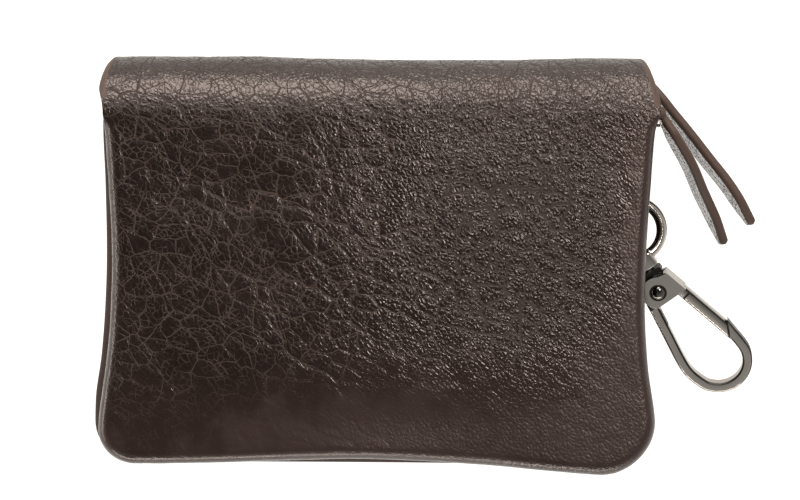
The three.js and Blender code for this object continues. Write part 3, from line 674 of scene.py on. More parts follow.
def hook_loop(materials):
    """The leather loop round the bail, as one strip with its plies together at the tail."""
    columns, rows = LOOP_STEPS
    turn = [(LOOP_ARC * math.cos(a), LOOP_ARC * math.sin(a)) for a in map(math.radians, LOOP_TURN)]
    run = [*LOOP_TAIL, *turn, *((x, -z) for x, z in reversed(LOOP_TAIL))]
    points, length = run_points([(x, 0.0, z) for x, z in run], columns)
    start = Vector(LOOP_PLACE)

    def place(column, row):
        reach = LOOP_WIDE * (row / rows - 0.5)
        return start + points[column] + Vector((0, reach, 0)), Vector((length * column / columns, reach))

    bm, _, _ = grid(columns, rows, place)
    bmesh.ops.reverse_faces(bm, faces=bm.faces)
    return wall(piece_from(bm, "hook_loop_strip", materials), LOOP_PLY, 0.0, 1, LOOP_BEVEL)


def zip_ends(sides, top, *insets):
    left, right = edges_at(sides, top[0])
    for inset in insets:
        left += inset
        right -= inset
    return left, right


def zip_tape(name, top, foot, sides, materials):
    left, right = zip_ends(sides, top, ZIP_INSET)
    columns, rows = ZIP_STEPS

    def place(column, row):
        share = row / rows
        x = left + (right - left) * column / columns
        y = top[0] + (foot[0] - top[0]) * share
        z = top[1] + (foot[1] - top[1]) * share
        return Vector((x, y, z)), Vector((x, share * (Vector(top) - Vector(foot)).length))

    bm, _, _ = grid(columns, rows, place)
    return wall(piece_from(bm, name, materials), TAPE, 0.0)


def zip_teeth(name, top, foot, sides, materials):
    """A closed row of teeth: one bevelled tooth, repeated along the tape."""
    left, right = zip_ends(sides, top, ZIP_INSET, TOOTH_PITCH)
    down = (Vector(foot) - Vector(top)).normalized()
    out = Vector((abs(down.y), -math.copysign(down.x, down.y) if down.y else 0.0))
    middle = (Vector(top) + Vector(foot)) / 2 + out * (TAPE / 2 + TOOTH[1] / 2)
    bm = bmesh.new()
    bmesh.ops.create_cube(bm, size=1.0)
    bmesh.ops.scale(bm, vec=TOOTH, verts=bm.verts)
    bevel_edges(bm, bm.edges[:], TOOTH_BEVEL, 1)
    turn = Matrix.Rotation(math.atan2(out.y, out.x), 4, "X")
    first = Matrix.Translation((left, middle.x, middle.y))
    bmesh.ops.transform(bm, matrix=first @ turn, verts=bm.verts)
    piece = piece_from(bm, name, materials)
    repeat = piece.modifiers.new("row", "ARRAY")
    repeat.use_relative_offset = False
    repeat.use_constant_offset = True
    repeat.constant_offset_displace = (TOOTH_PITCH * MM, 0, 0)
    repeat.count = int((right - left) / TOOTH_PITCH) + 1
    return piece


def metal_copy(node, name, bevel, materials, cut_at=None, ring=None):
    """A metal solid with its edges rounded.

    With a cut it is only the part before the cut, along the hook. With a ring its far end is moved.
    """
    bm = bmesh.new()
    bm.from_mesh(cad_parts[node].data)
    bmesh.ops.scale(bm, vec=(1 / MM, 1 / MM, 1 / MM), verts=bm.verts)
    bmesh.ops.remove_doubles(bm, verts=bm.verts, dist=COPY_WELD)
    bmesh.ops.dissolve_limit(bm, angle_limit=COPY_FLAT, verts=bm.verts, edges=bm.edges)
    if ring:
        far, hung = Vector(ring[0]), Vector(ring[1])
        near = 2 * sum((vert.co for vert in bm.verts), Vector()) / len(bm.verts) - far
        way = far - near
        for vert in bm.verts:
            vert.co += (hung - far) * smooth((vert.co - near).dot(way) / way.length_squared)
    if cut_at:
        turn = hook_frame()
        bmesh.ops.bisect_plane(
            bm, geom=[*bm.verts, *bm.edges, *bm.faces], plane_co=turn @ Vector((cut_at, 0, 0)),
            plane_no=turn.to_3x3() @ Vector((1, 0, 0)), clear_outer=True)
        fill_holes(bm)
        bmesh.ops.recalc_face_normals(bm, faces=bm.faces)
    sharp = [edge for edge in bm.edges if edge.is_manifold and edge.calc_face_angle() > COPY_SHARP]
    bevel_edges(bm, sharp, bevel, 3, True)
    if cut_at:
        up = hook_frame().to_3x3() @ Vector((0, 0, 1))
        bm.normal_update()
        # On the cheeks the sides get the grey copy of the metal: painted shade
        for face in bm.faces:
            face.material_index = 0 if abs(face.normal.dot(up)) > LOOKS_UP else len(materials) - 1
    return flat_faces(piece_from(bm, name, materials), COPY_SHARP)


def hook_frame():
    made = Matrix.Translation(HOOK_PLACE)
    for axis, degrees in HOOK_TURNS:
        made = made @ Matrix.Rotation(math.radians(degrees), 4, axis)
    return made


def bar_section(wide, thick, chamfer):
    """A chamfered bar's section, with two near points at each corner."""
    u, v = wide / 2, thick / 2
    corners = [(u, chamfer - v), (u, v - chamfer), (u - chamfer, v), (chamfer - u, v)]
    corners += [(-a, -b) for a, b in corners]
    points = []
    for i, corner in enumerate(corners):
        here = Vector(corner)
        for other in (corners[i - 1], corners[(i + 1) % len(corners)]):
            points.append(here + (Vector(other) - here).normalized() * CORNER_SOFT)
    return points


def hook_bar(name, middle, wide, slants, dark, slots, materials):
    """A chamfered bar along a run in the hook's own plane, with leaning end faces."""
    points, length = run_points([(x, y, 0.0) for x, y in middle], BAR_STEPS)
    section = bar_section(wide, HOOK_THICK, CHAMFER)

    def place(column, row):
        ahead = (points[min(BAR_STEPS, column + 1)] - points[max(0, column - 1)]).normalized()
        across, up = section[row % len(section)]
        share = column / BAR_STEPS
        shift = across * (slants[0] * smooth(1 - share * SLANT_ENDS)
                          + slants[1] * smooth(share * SLANT_ENDS - (SLANT_ENDS - 1)))
        out = Vector((ahead.y, -ahead.x, 0))
        point = points[column] + ahead * shift + out * across + Vector((0, 0, up))
        return point, Vector((length * share, row))

    bm, _, spots = grid(BAR_STEPS, len(section), place)
    # Dark sides and slots get the near black metal, and grey sides the grey one: painted shade
    for face in bm.faces:
        side = min(spots[vert][1] for vert in face.verts) // 2
        run = length * min(spots[vert][0] for vert in face.verts) / BAR_STEPS
        in_shade_slot = any(low <= run < high and side in sides for low, high, sides in slots)
        face.material_index = 1 if side in dark or in_shade_slot else 2 if side in BAR_HALF_SHADED else 0
    bmesh.ops.remove_doubles(bm, verts=bm.verts, dist=BAR_WELD)
    # The end faces are near black: painted shade in the gaps at the nose and at the gate's end
    for face in fill_holes(bm):
        face.material_index = 1
    bmesh.ops.recalc_face_normals(bm, faces=bm.faces)
    bmesh.ops.transform(bm, matrix=hook_frame(), verts=bm.verts)
    return flat_faces(piece_from(bm, name, materials), BAR_SHARP)


def eye_frame():
    left = Vector(EYE_PLACE) - Vector((0, 0, EYE_RADIUS * math.sin(EYE_SLOPE)))
    return Matrix.Translation(left) @ Matrix.Rotation(EYE_SLOPE, 4, "Y") @ Matrix.Rotation(EYE_TURN, 4, "Z")


def hook_eye(materials):
    """The round eye that the hook hangs from."""
    around, section = EYE_STEPS

    def place(column, row):
        turn = 2 * math.pi * column / around
        lean = 2 * math.pi * row / section
        reach = EYE_RADIUS + EYE_WIRE * math.cos(lean)
        point = Vector((reach * math.cos(turn), reach * math.sin(turn), EYE_WIRE * math.sin(lean)))
        return point, Vector((0, 0))

    bm, _, _ = grid(around, section, place)
    bmesh.ops.remove_doubles(bm, verts=bm.verts, dist=WELD)
    bmesh.ops.recalc_face_normals(bm, faces=bm.faces)
    bmesh.ops.transform(bm, matrix=eye_frame(), verts=bm.verts)
    return piece_from(bm, "hook_eye", materials)


def eye_hub(materials):
    """The block at the foot of the eye, bored for the hook's post."""
    stations = ((HUB_FROM, 0), (HUB_FROM, 1), (HUB_TO, 1), (HUB_TO, 0))

    def place(column, row):
        turn = 2 * math.pi * column / HUB_STEPS
        at, outer = stations[row % len(stations)]
        across, up = math.cos(turn), math.sin(turn)
        if not outer:
            return Vector((at, HUB_BORE * across, HUB_BORE * up)), Vector((0, 0))
        grow = (across ** HUB_POWER + up ** HUB_POWER) ** (-1 / HUB_POWER)
        return Vector((at, HUB_HALF[0] * grow * across, HUB_HALF[1] * grow * up)), Vector((0, 0))

    bm, _, _ = grid(HUB_STEPS, len(stations), place)
    bmesh.ops.remove_doubles(bm, verts=bm.verts, dist=WELD)
    bmesh.ops.recalc_face_normals(bm, faces=bm.faces)
    sharp = [edge for edge in bm.edges if edge.calc_face_angle() > HUB_SHARP]
    bevel_edges(bm, sharp, HUB_BEVEL, 2)
    bmesh.ops.transform(bm, matrix=hook_frame(), verts=bm.verts)
    return flat_faces(piece_from(bm, "eye_hub", materials), ROUND_SHARP)


def rivet_ends(materials):
    """A domed rivet head in a dark sunk seat, on both sides of the gate."""
    bm = bmesh.new()
    for side in (1, -1):
        seat = bmesh.ops.create_cone(
            bm, cap_ends=True, segments=SEAT_SIDES, radius1=RIVET_SEAT, radius2=RIVET_SEAT - SEAT_TAPER,
            depth=SEAT_DEEP)["verts"]
        bmesh.ops.translate(bm, vec=(0, 0, SEAT_LIFT), verts=seat)
        # The seat is a thin disc in the near black metal: painted shade for the sunk seat round the head
        for face in {face for vert in seat for face in vert.link_faces}:
            face.material_index = 1
        head = bmesh.ops.create_uvsphere(
            bm, u_segments=HEAD_SIDES[0], v_segments=HEAD_SIDES[1], radius=RIVET_HEAD)["verts"]
        bmesh.ops.scale(bm, vec=(1, 1, RIVET_DOME), verts=head)
        flip = Matrix.Diagonal((1, 1, side, 1))
        seated = Matrix.Translation((*RIVET_AT, side * RIVET_OUT)) @ flip
        bmesh.ops.transform(bm, matrix=seated, verts=seat + head)
    pin = bmesh.ops.create_cone(
        bm, cap_ends=True, segments=PIN_SIDES, radius1=RIVET_PIN, radius2=RIVET_PIN,
        depth=2 * RIVET_OUT)["verts"]
    bmesh.ops.translate(bm, vec=(*RIVET_AT, 0), verts=pin)
    bmesh.ops.recalc_face_normals(bm, faces=bm.faces)
    bmesh.ops.transform(bm, matrix=hook_frame(), verts=bm.verts)
    piece = piece_from(bm, "rivet", materials)
    piece.data.set_sharp_from_angle(angle=ROUND_SHARP)
    return piece


# Materials
def group(name, inputs, outputs):
    tree = bpy.data.node_groups.new(name, "ShaderNodeTree")
    for label, kind, value in inputs:
        socket = tree.interface.new_socket(label, in_out="INPUT", socket_type=kind)
        if value is not None:
            socket.default_value = value
    for label, kind in outputs:
        tree.interface.new_socket(label, in_out="OUTPUT", socket_type=kind)
    return tree, tree.nodes.new("NodeGroupInput"), tree.nodes.new("NodeGroupOutput")


def add(tree, kind, settings=None, **values):
    """A node with its settings and its input values or links, by socket name."""
    made = tree.nodes.new(kind)
    for key, value in (settings or {}).items():
        setattr(made, key, value)
    for key, value in values.items():
        socket = made.inputs[int(key[1:])] if key[1:].isdigit() else made.inputs[key.replace("_", " ")]
        if isinstance(value, bpy.types.NodeSocket):
            tree.links.new(value, socket)
        else:
            socket.default_value = value
    return made


def maths(tree, operation, a, b=0.0, clamp=False):
    return add(tree, "ShaderNodeMath", {"operation": operation, "use_clamp": clamp}, i0=a, i1=b).outputs[0]


def ramp_between(tree, value, low, high, to_low=0.0, to_high=1.0):
    made = add(tree, "ShaderNodeMapRange", {"interpolation_type": "SMOOTHSTEP"}, Value=value)
    made.inputs["From Min"].default_value = low
    made.inputs["From Max"].default_value = high
    made.inputs["To Min"].default_value = to_low
    made.inputs["To Max"].default_value = to_high
    return made.outputs[0]


def turned(tree, vector, angle, stretch):
    """Turns a place, so that what is drawn on it runs up and left by the angle, longer by the stretch."""
    made = add(tree, "ShaderNodeMapping", {"vector_type": "TEXTURE"}, Vector=vector)
    made.inputs["Rotation"].default_value = (0, 0, math.radians(angle))
    made.inputs["Scale"].default_value = (1, stretch, 1)
    return made.outputs[0]


def blotch(tree, vector, scale, detail=2.0, rough=0.5):
    return add(tree, "ShaderNodeTexNoise", {"noise_dimensions": "2D"}, Vector=vector, Scale=scale,
               Detail=detail, Roughness=rough)


def pushed(tree, vector, scale, reach):
    """A place moved about by a soft noise."""
    sway = blotch(tree, vector, scale)
    centred = add(tree, "ShaderNodeVectorMath", {"operation": "SUBTRACT"}, i0=sway.outputs["Color"],
                  i1=(0.5, 0.5, 0.5))
    far = add(tree, "ShaderNodeVectorMath", {"operation": "SCALE"}, i0=centred.outputs[0], Scale=reach)
    return add(tree, "ShaderNodeVectorMath", {"operation": "ADD"}, i0=vector, i1=far.outputs[0]).outputs[0]


def cells(tree, vector, scale):
    made = add(tree, "ShaderNodeTexVoronoi", {"feature": "DISTANCE_TO_EDGE", "voronoi_dimensions": "2D"},
               Vector=vector, Scale=scale, Randomness=1.0)
    return made.outputs["Distance"]


# Nets of lines in the hide. Columns: angle, stretch, cells a millimetre, widths of line and groove,
# patches that have it (scale of their noise, and its range), weights of the lines and of the grooves,
# weight where the hide is calm, scale of the distance to a line on the right, share on the fold
HIDE_NETS = (
    (45.0, 2.0, 0.085, 0.009, 0.060, (0.04, 0.36, 0.56), 0.9, 0.7, 0.0, 0.35, 0.9),
    (62.0, 1.4, 0.28, 0.040, 0.220, (0.10, 0.25, 0.48), 0.72, 0.85, 0.0, 0.4, 0.95),
    (35.0, 1.2, 0.90, 0.095, 0.300, (0.17, 0.18, 0.52), 0.55, 0.35, 0.3, 1.0, 0.7),
    (56.0, 3.0, 0.60, 0.034, 0.130, (0.13, 0.40, 0.60), 0.55, 0.3, 0.4, 1.0, 0.0),
)
# Noises that bend the patches, the nets and the pebbles: scale and reach
PATCH_BEND = (0.06, 5.0)
NET_BENDS = ((0.45, 0.8), (1.3, 0.3))
PEBBLE_BEND = (0.4, 0.5)
# The right part: range of x, range of y where it ends below the fold, and share of the lines' colour there
RIGHT_PART = (-2.0, 24.0)
RIGHT_TOP = (18.0, 28.0)
RIGHT_FAINT = 0.3
# The fold: range of y, scale of the distance to a line, share of the lines' colour, and least grit
FOLD_NET = (26.0, 36.0)
FOLD_WIDER = 0.65
FOLD_FAINT = 0.35
FOLD_GRIT = 0.8
# The left part: range of x, and depth of the grooves or amount of grit at its two ends
SHALLOW_LEFT = (-30.0, 10.0, 0.5, 1.0)
SMOOTH_LEFT = (-22.0, 22.0, 0.22, 1.25)
# Noise that breaks up the lines of nets with this many cells or more: scale and detail, range and weights
BROKEN_FROM = 0.5
BROKEN = ((0.4, 2.0), (0.36, 0.6, 0.3, 1.0))
# Ranges of wear over which the lines show, the relief grows and the calm tone ends, with their values
WORN_LINES = (0.0, 0.8)
WORN_RELIEF = (0.0, 0.6, 0.3, 1.0)
WORN_CALM = (0.0, 0.7, 1.0, 0.0)
# Pebbles: angle and stretch, cells a millimetre, and height by the distance to their edges
PEBBLE_TURN = (40, 1.25)
PEBBLE_CELLS = 1.1
PEBBLE_RISE = (0.0, 0.36, 0.0, 0.28)
# Fine grit: scale and detail, height, and share that is left where lines are
MICRO = (2.2, 2.0)
MICRO_RISE = 0.12
LINE_GRIT = (0.1, 0.6, 1.0, 0.3)
# Tone of the hide: scale, detail and roughness of its noise, its range and amounts
TONE = ((0.05, 4.0, 0.6), (0.3, 0.7, -0.2, 0.2))


def hide_grain():
    """Grain of the hide from a place in millimetres.

    Lines is the colour of the creases, Matt their roughness, Calm the tone between them, and Height the
    relief of grooves and pebbles.
    """
    tree, start, end = group(
        "hide_grain",
        (("Vector", "NodeSocketVector", None), ("Worn", "NodeSocketFloat", 0.5),
         ("Fold", "NodeSocketFloat", 0.0), ("Grit", "NodeSocketFloat", 1.0)),
        (("Lines", "NodeSocketFloat"), ("Matt", "NodeSocketFloat"), ("Calm", "NodeSocketFloat"),
         ("Height", "NodeSocketFloat")),
    )

    def ramp(value, *ends):
        return ramp_between(tree, value, *ends)

    def times(a, b):
        return maths(tree, "MULTIPLY", a, b)

    def most(a, b):
        return maths(tree, "MAXIMUM", a, b)

    def mottle(vector, *settings):
        return blotch(tree, vector, *settings).outputs["Fac"]

    place, worn, fold = start.outputs["Vector"], start.outputs["Worn"], start.outputs["Fold"]
    spot = add(tree, "ShaderNodeSeparateXYZ", None, Vector=place)
    x, y = spot.outputs["X"], spot.outputs["Y"]
    bent = pushed(tree, place, *PATCH_BEND)
    rippled = bent
    for bend in NET_BENDS:
        rippled = pushed(tree, rippled, *bend)
    swayed = pushed(tree, place, *PEBBLE_BEND)
    narrow = ramp(y, *FOLD_NET, 1.0, FOLD_WIDER)
    on_fold = ramp(y, *FOLD_NET)
    on_right = times(ramp(x, *RIGHT_PART), ramp(y, *RIGHT_TOP, 1.0, 0.0))
    faint = times(ramp(on_right, 0.0, 1.0, 1.0, RIGHT_FAINT), ramp(on_fold, 0.0, 1.0, 1.0, FOLD_FAINT))
    broken = most(ramp(mottle(rippled, *BROKEN[0]), *BROKEN[1]), on_fold)
    lines = fold
    matt = fold
    height = 0.0
    for angle, stretch, scale, line, groove, patch, bright, deep, least, wider, folded in HIDE_NETS:
        edge = times(cells(tree, turned(tree, rippled, angle, stretch), scale), narrow)
        edge = times(edge, ramp(on_right, 0.0, 1.0, 1.0, wider))
        share = most(ramp(mottle(bent, patch[0]), *patch[1:]), times(on_fold, folded))
        drawn = times(times(ramp(edge, 0.0, line, bright, 0.0), share), ramp(worn, *WORN_LINES, least, 1.0))
        if scale >= BROKEN_FROM:
            drawn = times(drawn, broken)
        matt = most(matt, drawn)
        lines = most(lines, times(drawn, faint))
        height = maths(tree, "SUBTRACT", height, times(ramp(edge, 0.0, groove, deep, 0.0), share))
    height = times(height, ramp(x, *SHALLOW_LEFT))
    pebble = ramp(cells(tree, turned(tree, swayed, *PEBBLE_TURN), PEBBLE_CELLS), *PEBBLE_RISE)
    grit = maths(tree, "ADD", pebble, times(mottle(swayed, *MICRO), MICRO_RISE))
    grit = times(grit, most(ramp(x, *SMOOTH_LEFT), times(on_fold, FOLD_GRIT)))
    grit = times(grit, ramp(matt, *LINE_GRIT))
    height = maths(tree, "ADD", height, times(grit, start.outputs["Grit"]))
    height = times(height, ramp(worn, *WORN_RELIEF))
    tone = ramp(mottle(place, *TONE[0]), *TONE[1])
    plain = maths(tree, "ADD", ramp(worn, *WORN_CALM), tone, True)
    for label, value in (("Lines", lines), ("Matt", matt), ("Calm", plain), ("Height", height)):
        tree.links.new(value, end.inputs[label])
    return tree


def new_material(name):
    material = bpy.data.materials.new(name)
    material.use_nodes = True
    tree = material.node_tree
    return material, tree, tree.nodes["Principled BSDF"]


def mixed(tree, share, a, b):
    made = add(tree, "ShaderNodeMix", {"data_type": "RGBA"}, Factor=share)
    for socket, colour in ((made.inputs[6], a), (made.inputs[7], b)):
        if isinstance(colour, bpy.types.NodeSocket):
            tree.links.new(colour, socket)
        else:
            socket.default_value = (*colour, 1)
    return made.outputs[2]


def object_noise(tree, scale, detail):
    place = add(tree, "ShaderNodeTexCoord")
    made = add(tree, "ShaderNodeTexNoise", None, Vector=place.outputs["Object"], Scale=scale, Detail=detail)
    return made.outputs["Fac"]


def bump(tree, shader, height, distance, strength=1.0, invert=False):
    raised = add(tree, "ShaderNodeBump", {"invert": invert}, Height=height, Distance=distance,
                 Strength=strength)
    tree.links.new(raised.outputs[0], shader.inputs["Normal"])


def plain_inputs(shader, **values):
    for label, value in values.items():
        shader.inputs[label.replace("_", " ")].default_value = value


# Calm hide: how much lighter it is, the calm from which it gets duller, and its least roughness
CALM_LIFT = (3.1, 3.5, 3.75)
CALM_DULL = 0.2
CALM_ROUGH = 0.36
# Weight of the lines at which the hide is as matt as it gets
MATT_FULL = 0.8


def leather(name, grain, dark, line, worn=None, relief=0.0001, grit=1.9, rough=(0.24, 0.85), ior=1.45,
            tint=(1.0, 0.87, 0.83, 1)):
    """Leather with dark glossy cells and lighter matt creases.

    The wear is a number, or None to read it and the deep creases from the mesh.
    """
    material, tree, shader = new_material(name)
    hide = add(tree, "ShaderNodeUVMap", {"uv_map": "hide"})
    skin = add(tree, "ShaderNodeGroup", {"node_tree": grain}, Vector=hide.outputs[0])
    if worn is None:
        amount = add(tree, "ShaderNodeAttribute", {"attribute_name": "worn"})
        deep = add(tree, "ShaderNodeAttribute", {"attribute_name": "crease"})
        tree.links.new(amount.outputs["Fac"], skin.inputs["Worn"])
        tree.links.new(deep.outputs["Fac"], skin.inputs["Fold"])
    else:
        skin.inputs["Worn"].default_value = worn
    skin.inputs["Grit"].default_value = grit
    toned = mixed(tree, skin.outputs["Calm"], dark, [c * lift for c, lift in zip(dark, CALM_LIFT)])
    colour = mixed(tree, skin.outputs["Lines"], toned, line)
    tree.links.new(colour, shader.inputs["Base Color"])
    dull = ramp_between(tree, skin.outputs["Matt"], 0.0, MATT_FULL, *rough)
    calm_dull = ramp_between(tree, skin.outputs["Calm"], CALM_DULL, 1.0, 0.0, CALM_ROUGH)
    dull = maths(tree, "MAXIMUM", dull, calm_dull)
    tree.links.new(dull, shader.inputs["Roughness"])
    bump(tree, shader, skin.outputs["Height"], relief)
    plain_inputs(shader, IOR=ior, Specular_Tint=tint)
    return material


# Paint of the raw edges: its two tones, scale and detail of their noise, depth and strength of its bump
PAINT_TONES = ((0.034, 0.0185, 0.013), (0.052, 0.029, 0.021))
PAINT_NOISE = (420.0, 3.0)
PAINT_BUMP = (0.0001, 0.5)


def painted_edge():
    material, tree, shader = new_material("painted_edge")
    soft = object_noise(tree, *PAINT_NOISE)
    tree.links.new(mixed(tree, soft, *PAINT_TONES), shader.inputs["Base Color"])
    bump(tree, shader, soft, *PAINT_BUMP)
    plain_inputs(shader, Roughness=0.6, Specular_IOR_Level=0.35)
    return material


# Metal: scale and detail of its clouds, and their range; the same of its fine bump, and depth and strength
METAL_CLOUD = ((240.0, 4.0), (0.3, 0.7))
METAL_FINE = ((900.0, 2.0), (0.00002, 0.15))


def gunmetal(name, low, high, rough_low, rough_high):
    material, tree, shader = new_material(name)
    cloud = object_noise(tree, *METAL_CLOUD[0])
    tree.links.new(mixed(tree, cloud, low, high), shader.inputs["Base Color"])
    rough = ramp_between(tree, cloud, *METAL_CLOUD[1], rough_low, rough_high)
    tree.links.new(rough, shader.inputs["Roughness"])
    bump(tree, shader, object_noise(tree, *METAL_FINE[0]), *METAL_FINE[1])
    plain_inputs(shader, Metallic=1.0)
    return material


# Woven tape: threads a millimetre, colours of the threads and of the gaps between them, depth of its bump
WEAVE_SCALE = 2.2
WEAVE_THREADS = ((0.018, 0.012, 0.01, 1), (0.03, 0.021, 0.017, 1))
WEAVE_GAP = (0.008, 0.006, 0.005, 1)
WEAVE_BUMP = 0.0001


def zip_cloth():
    """Woven tape, from its place along and across in millimetres."""
    material, tree, shader = new_material("zip_cloth")
    hide = add(tree, "ShaderNodeUVMap", {"uv_map": "hide"})
    weave = add(tree, "ShaderNodeTexBrick", None, Vector=hide.outputs[0], Scale=WEAVE_SCALE,
                Color1=WEAVE_THREADS[0], Color2=WEAVE_THREADS[1], Mortar=WEAVE_GAP)
    tree.links.new(weave.outputs["Color"], shader.inputs["Base Color"])
    bump(tree, shader, weave.outputs["Fac"], WEAVE_BUMP, invert=True)
    plain_inputs(shader, Roughness=0.85)
    return material


# Camera: its place over the wallet, height of the plane that the scale holds in, distance from that plane,
# and width of the picture there, from the photo's pixels and pixels a millimetre
CAMERA_AT = (4.47, 3.19)
FRONT_PLANE = 25.0
CAMERA_FAR = 800.0
FIELD_WIDE = 800 / 4.726
SENSOR_WIDE = 36.0
# Lights, in metres and watts. Columns: name, place, aim, size, power
LIGHTS = (
    ("top_box", (0.0, 0.7, 0.47), (0, 0.03, 0.0), (0.55, 0.6), 12.3),
    ("right_box", (0.28, 0.16, 0.8), (0.02, 0, 0.0), (0.16, 0.16), 3.5),
    ("bottom_box", (-0.1, -0.9, 0.1), (0, 0, 0.0), (1.2, 0.2), 9),
    ("left_box", (-0.85, 0.05, 0.1), (0, 0, 0.0), (0.9, 0.2), 5),
    ("upper_box", (0.0, 0.42, 0.8), (0, 0.03, 0.0), (1.0, 0.35), 1),
)
LIGHT_COLOUR = (1.0, 0.94, 0.87)
# Floor: half size, height, colour, and colour and strength of its glow
FLOOR_HALF = 1500.0
FLOOR_AT = -0.2
FLOOR_COLOUR = (0.2, 0.195, 0.19, 1)
FLOOR_GLOW = (1, 0.97, 0.93, 1)
FLOOR_GLOW_STRENGTH = 1.1
# Sky: colour, and range of height with its strength at both ends
SKY_COLOUR = (1.0, 0.98, 0.95, 1)
SKY_DIMS = (0.5, 1.0, 0.65, 0.12)


def camera():
    data = bpy.data.cameras.new("photo_camera")
    data.sensor_width = SENSOR_WIDE
    data.lens = data.sensor_width * CAMERA_FAR / FIELD_WIDE
    data.clip_start = 0.01
    made = show(bpy.data.objects.new("photo_camera", data))
    made.location = (CAMERA_AT[0] * MM, CAMERA_AT[1] * MM, (FRONT_PLANE + CAMERA_FAR) * MM)
    bpy.context.scene.camera = made


def softbox(name, place, aim, size, power):
    data = bpy.data.lights.new(name, "AREA")
    data.shape = "RECTANGLE"
    data.size, data.size_y = size
    data.energy = power
    data.color = LIGHT_COLOUR
    made = show(bpy.data.objects.new(name, data))
    made.location = place
    made.rotation_mode = "QUATERNION"
    made.rotation_quaternion = (Vector(aim) - Vector(place)).to_track_quat("-Z", "Y")


def studio():
    bm = bmesh.new()
    bmesh.ops.create_grid(bm, x_segments=1, y_segments=1, size=FLOOR_HALF)
    bmesh.ops.translate(bm, vec=(0, 0, FLOOR_AT), verts=bm.verts)
    material, _, shader = new_material("pale_floor")
    plain_inputs(shader, Base_Color=FLOOR_COLOUR, Roughness=0.9, Specular_IOR_Level=0.1)
    piece_from(bm, "pale_floor", [material])
    plain_inputs(shader, Emission_Color=FLOOR_GLOW, Emission_Strength=FLOOR_GLOW_STRENGTH)
    for light in LIGHTS:
        softbox(*light)
    world = bpy.data.worlds.new("studio_world")
    bpy.context.scene.world = world
    world.use_nodes = True
    tree = world.node_tree
    sky = tree.nodes["Background"]
    around = add(tree, "ShaderNodeTexCoord")
    height = add(tree, "ShaderNodeSeparateXYZ", None, Vector=around.outputs["Generated"])
    tree.links.new(ramp_between(tree, height.outputs["Z"], *SKY_DIMS), sky.inputs["Strength"])
    sky.inputs["Color"].default_value = SKY_COLOUR
    bpy.context.scene.view_settings.view_transform = "Standard"


grain = hide_grain()
outer = leather("outer_leather", grain, (0.0052, 0.0026, 0.0021), (0.031, 0.017, 0.0122))
inner = leather("inner_leather", grain, (0.009, 0.0045, 0.0034), (0.05, 0.03, 0.021), worn=0.3,
                rough=(0.65, 0.9), ior=1.2)
pull = leather("pull_leather", grain, (0.02, 0.014, 0.011), (0.012, 0.008, 0.006), worn=1.0, relief=0.0005,
               grit=5.0, rough=(0.1, 0.9), ior=2.3, tint=(1, 1, 1, 1))
paint = painted_edge()
# The hook's metal comes in three copies. The plain one is its own colour. A grey copy paints shade on the
# sides of the bars and cheeks. A near black copy paints shade on the head, on dark sides, slots and ends of
# the bars, and on the rivet's seat.
metal = gunmetal("gunmetal", (0.45, 0.42, 0.38), (0.52, 0.485, 0.44), 0.1, 0.17)
shaded_side_metal = gunmetal("shaded_side_gunmetal", (0.24, 0.225, 0.205), (0.29, 0.27, 0.245), 0.12, 0.2)
pale_metal = gunmetal("pale_gunmetal", (0.42, 0.39, 0.355), (0.5, 0.465, 0.425), 0.12, 0.2)
rivet_metal = gunmetal("rivet_gunmetal", (0.09, 0.085, 0.08), (0.13, 0.122, 0.115), 0.12, 0.2)
shade_metal = gunmetal("painted_shade_gunmetal", (0.02, 0.019, 0.018), (0.04, 0.038, 0.035), 0.35, 0.5)
bar_metals = [metal, shade_metal, shaded_side_metal]
cloth = zip_cloth()

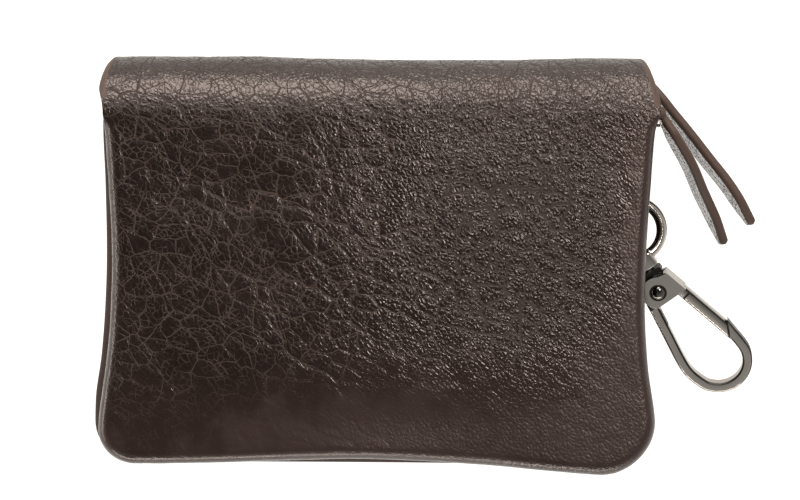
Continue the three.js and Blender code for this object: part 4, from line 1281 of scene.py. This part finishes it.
hide = dress(wall(outer_leather([outer, paint]), LEATHER), "wallet", "outer_leather", "outer_wrap")
front_lining = dress(
    wall(tray("front_tray", FRONT_SIDES, FRONT_BOTTOM, FRONT_CORNERS, FRONT_ZIP[1][0] - TRAY_SHORT, -1,
              lambda y: front_face(y) - POUCH_DEPTH, [inner]), LEATHER),
    "wallet", "inner_leather", "front_inner_panel")
back_lining = dress(
    wall(tray("back_tray", BACK_SIDES, BACK_BOTTOM, BACK_CORNERS, BACK_ZIP[1][0] - TRAY_SHORT, 1,
              lambda y: POUCH_DEPTH, [inner]), LEATHER),
    "wallet", "inner_leather", "back_inner_panel")
for side, (top, foot), sides, run in (
    ("front", FRONT_ZIP, FRONT_SIDES, FRONT_PULL),
    ("back", BACK_ZIP, BACK_SIDES, BACK_PULL),
):
    tape = zip_tape(side + "_zip_tape", top, foot, sides, [cloth])
    dress(tape, "wallet", "zip_cloth", side + "_zip")
    teeth = zip_teeth(side + "_zip_teeth", top, foot, sides, [metal])
    dress(teeth, "wallet", "gunmetal", side + "_zip")
    slider = metal_copy(side + "_slider", side + "_zip_slider", SLIDER_BEVEL, [metal])
    dress(slider, "wallet", "gunmetal", side + "_slider")
    ring = metal_copy(side + "_pull_ring", side + "_wire_ring", RING_BEVEL, [metal], ring=RING_ENDS[side])
    dress(ring, "wallet", "gunmetal", side + "_pull_ring")
    strap = pull_strap(side + "_pull", run, [pull, paint])
    dress(strap, "wallet", "pull_leather", side + "_pull_strap")
    strap_loop = pull_loop(side + "_pull_loop", run, [pull, paint])
    dress(strap_loop, "wallet", "pull_leather", side + "_pull_strap")
dress(hook_loop([inner, paint]), "wallet", "inner_leather", "hook_loop")
dress(hook_eye([pale_metal]), "wallet", "gunmetal", "bail")
dress(eye_hub([pale_metal]), "wallet", "gunmetal", "bail")
# The head is all in the near black copy of the metal: painted shade where it sits behind the cheeks
head = metal_copy("hook_body", "hook_head", HEAD_BEVEL, [shade_metal], cut_at=HEAD_CUT)
dress(head, "hook", "gunmetal", "hook_body")
bow = hook_bar("hook_bow", BOW_RUN, BAR_WIDE[0], (0.0, NOSE_SLANT), BOW_SHADED, BOW_SHADE_SLOTS, bar_metals)
dress(bow, "hook", "gunmetal", "hook_body")
dress(rivet_ends([rivet_metal, shade_metal]), "hook", "gunmetal", "gate_rivet")
cheeks = metal_copy("hook_gate", "gate_cheeks", CHEEK_BEVEL, [metal, shaded_side_metal], cut_at=CHEEK_CUT)
dress(cheeks, "gate", "gunmetal", "hook_gate")
gate = hook_bar("gate_bar", GATE_RUN, BAR_WIDE[1], (0.0, GATE_SLANT), GATE_SHADED, GATE_SHADE_SLOTS, bar_metals)
dress(gate, "gate", "gunmetal", "hook_gate")

studio()
camera()
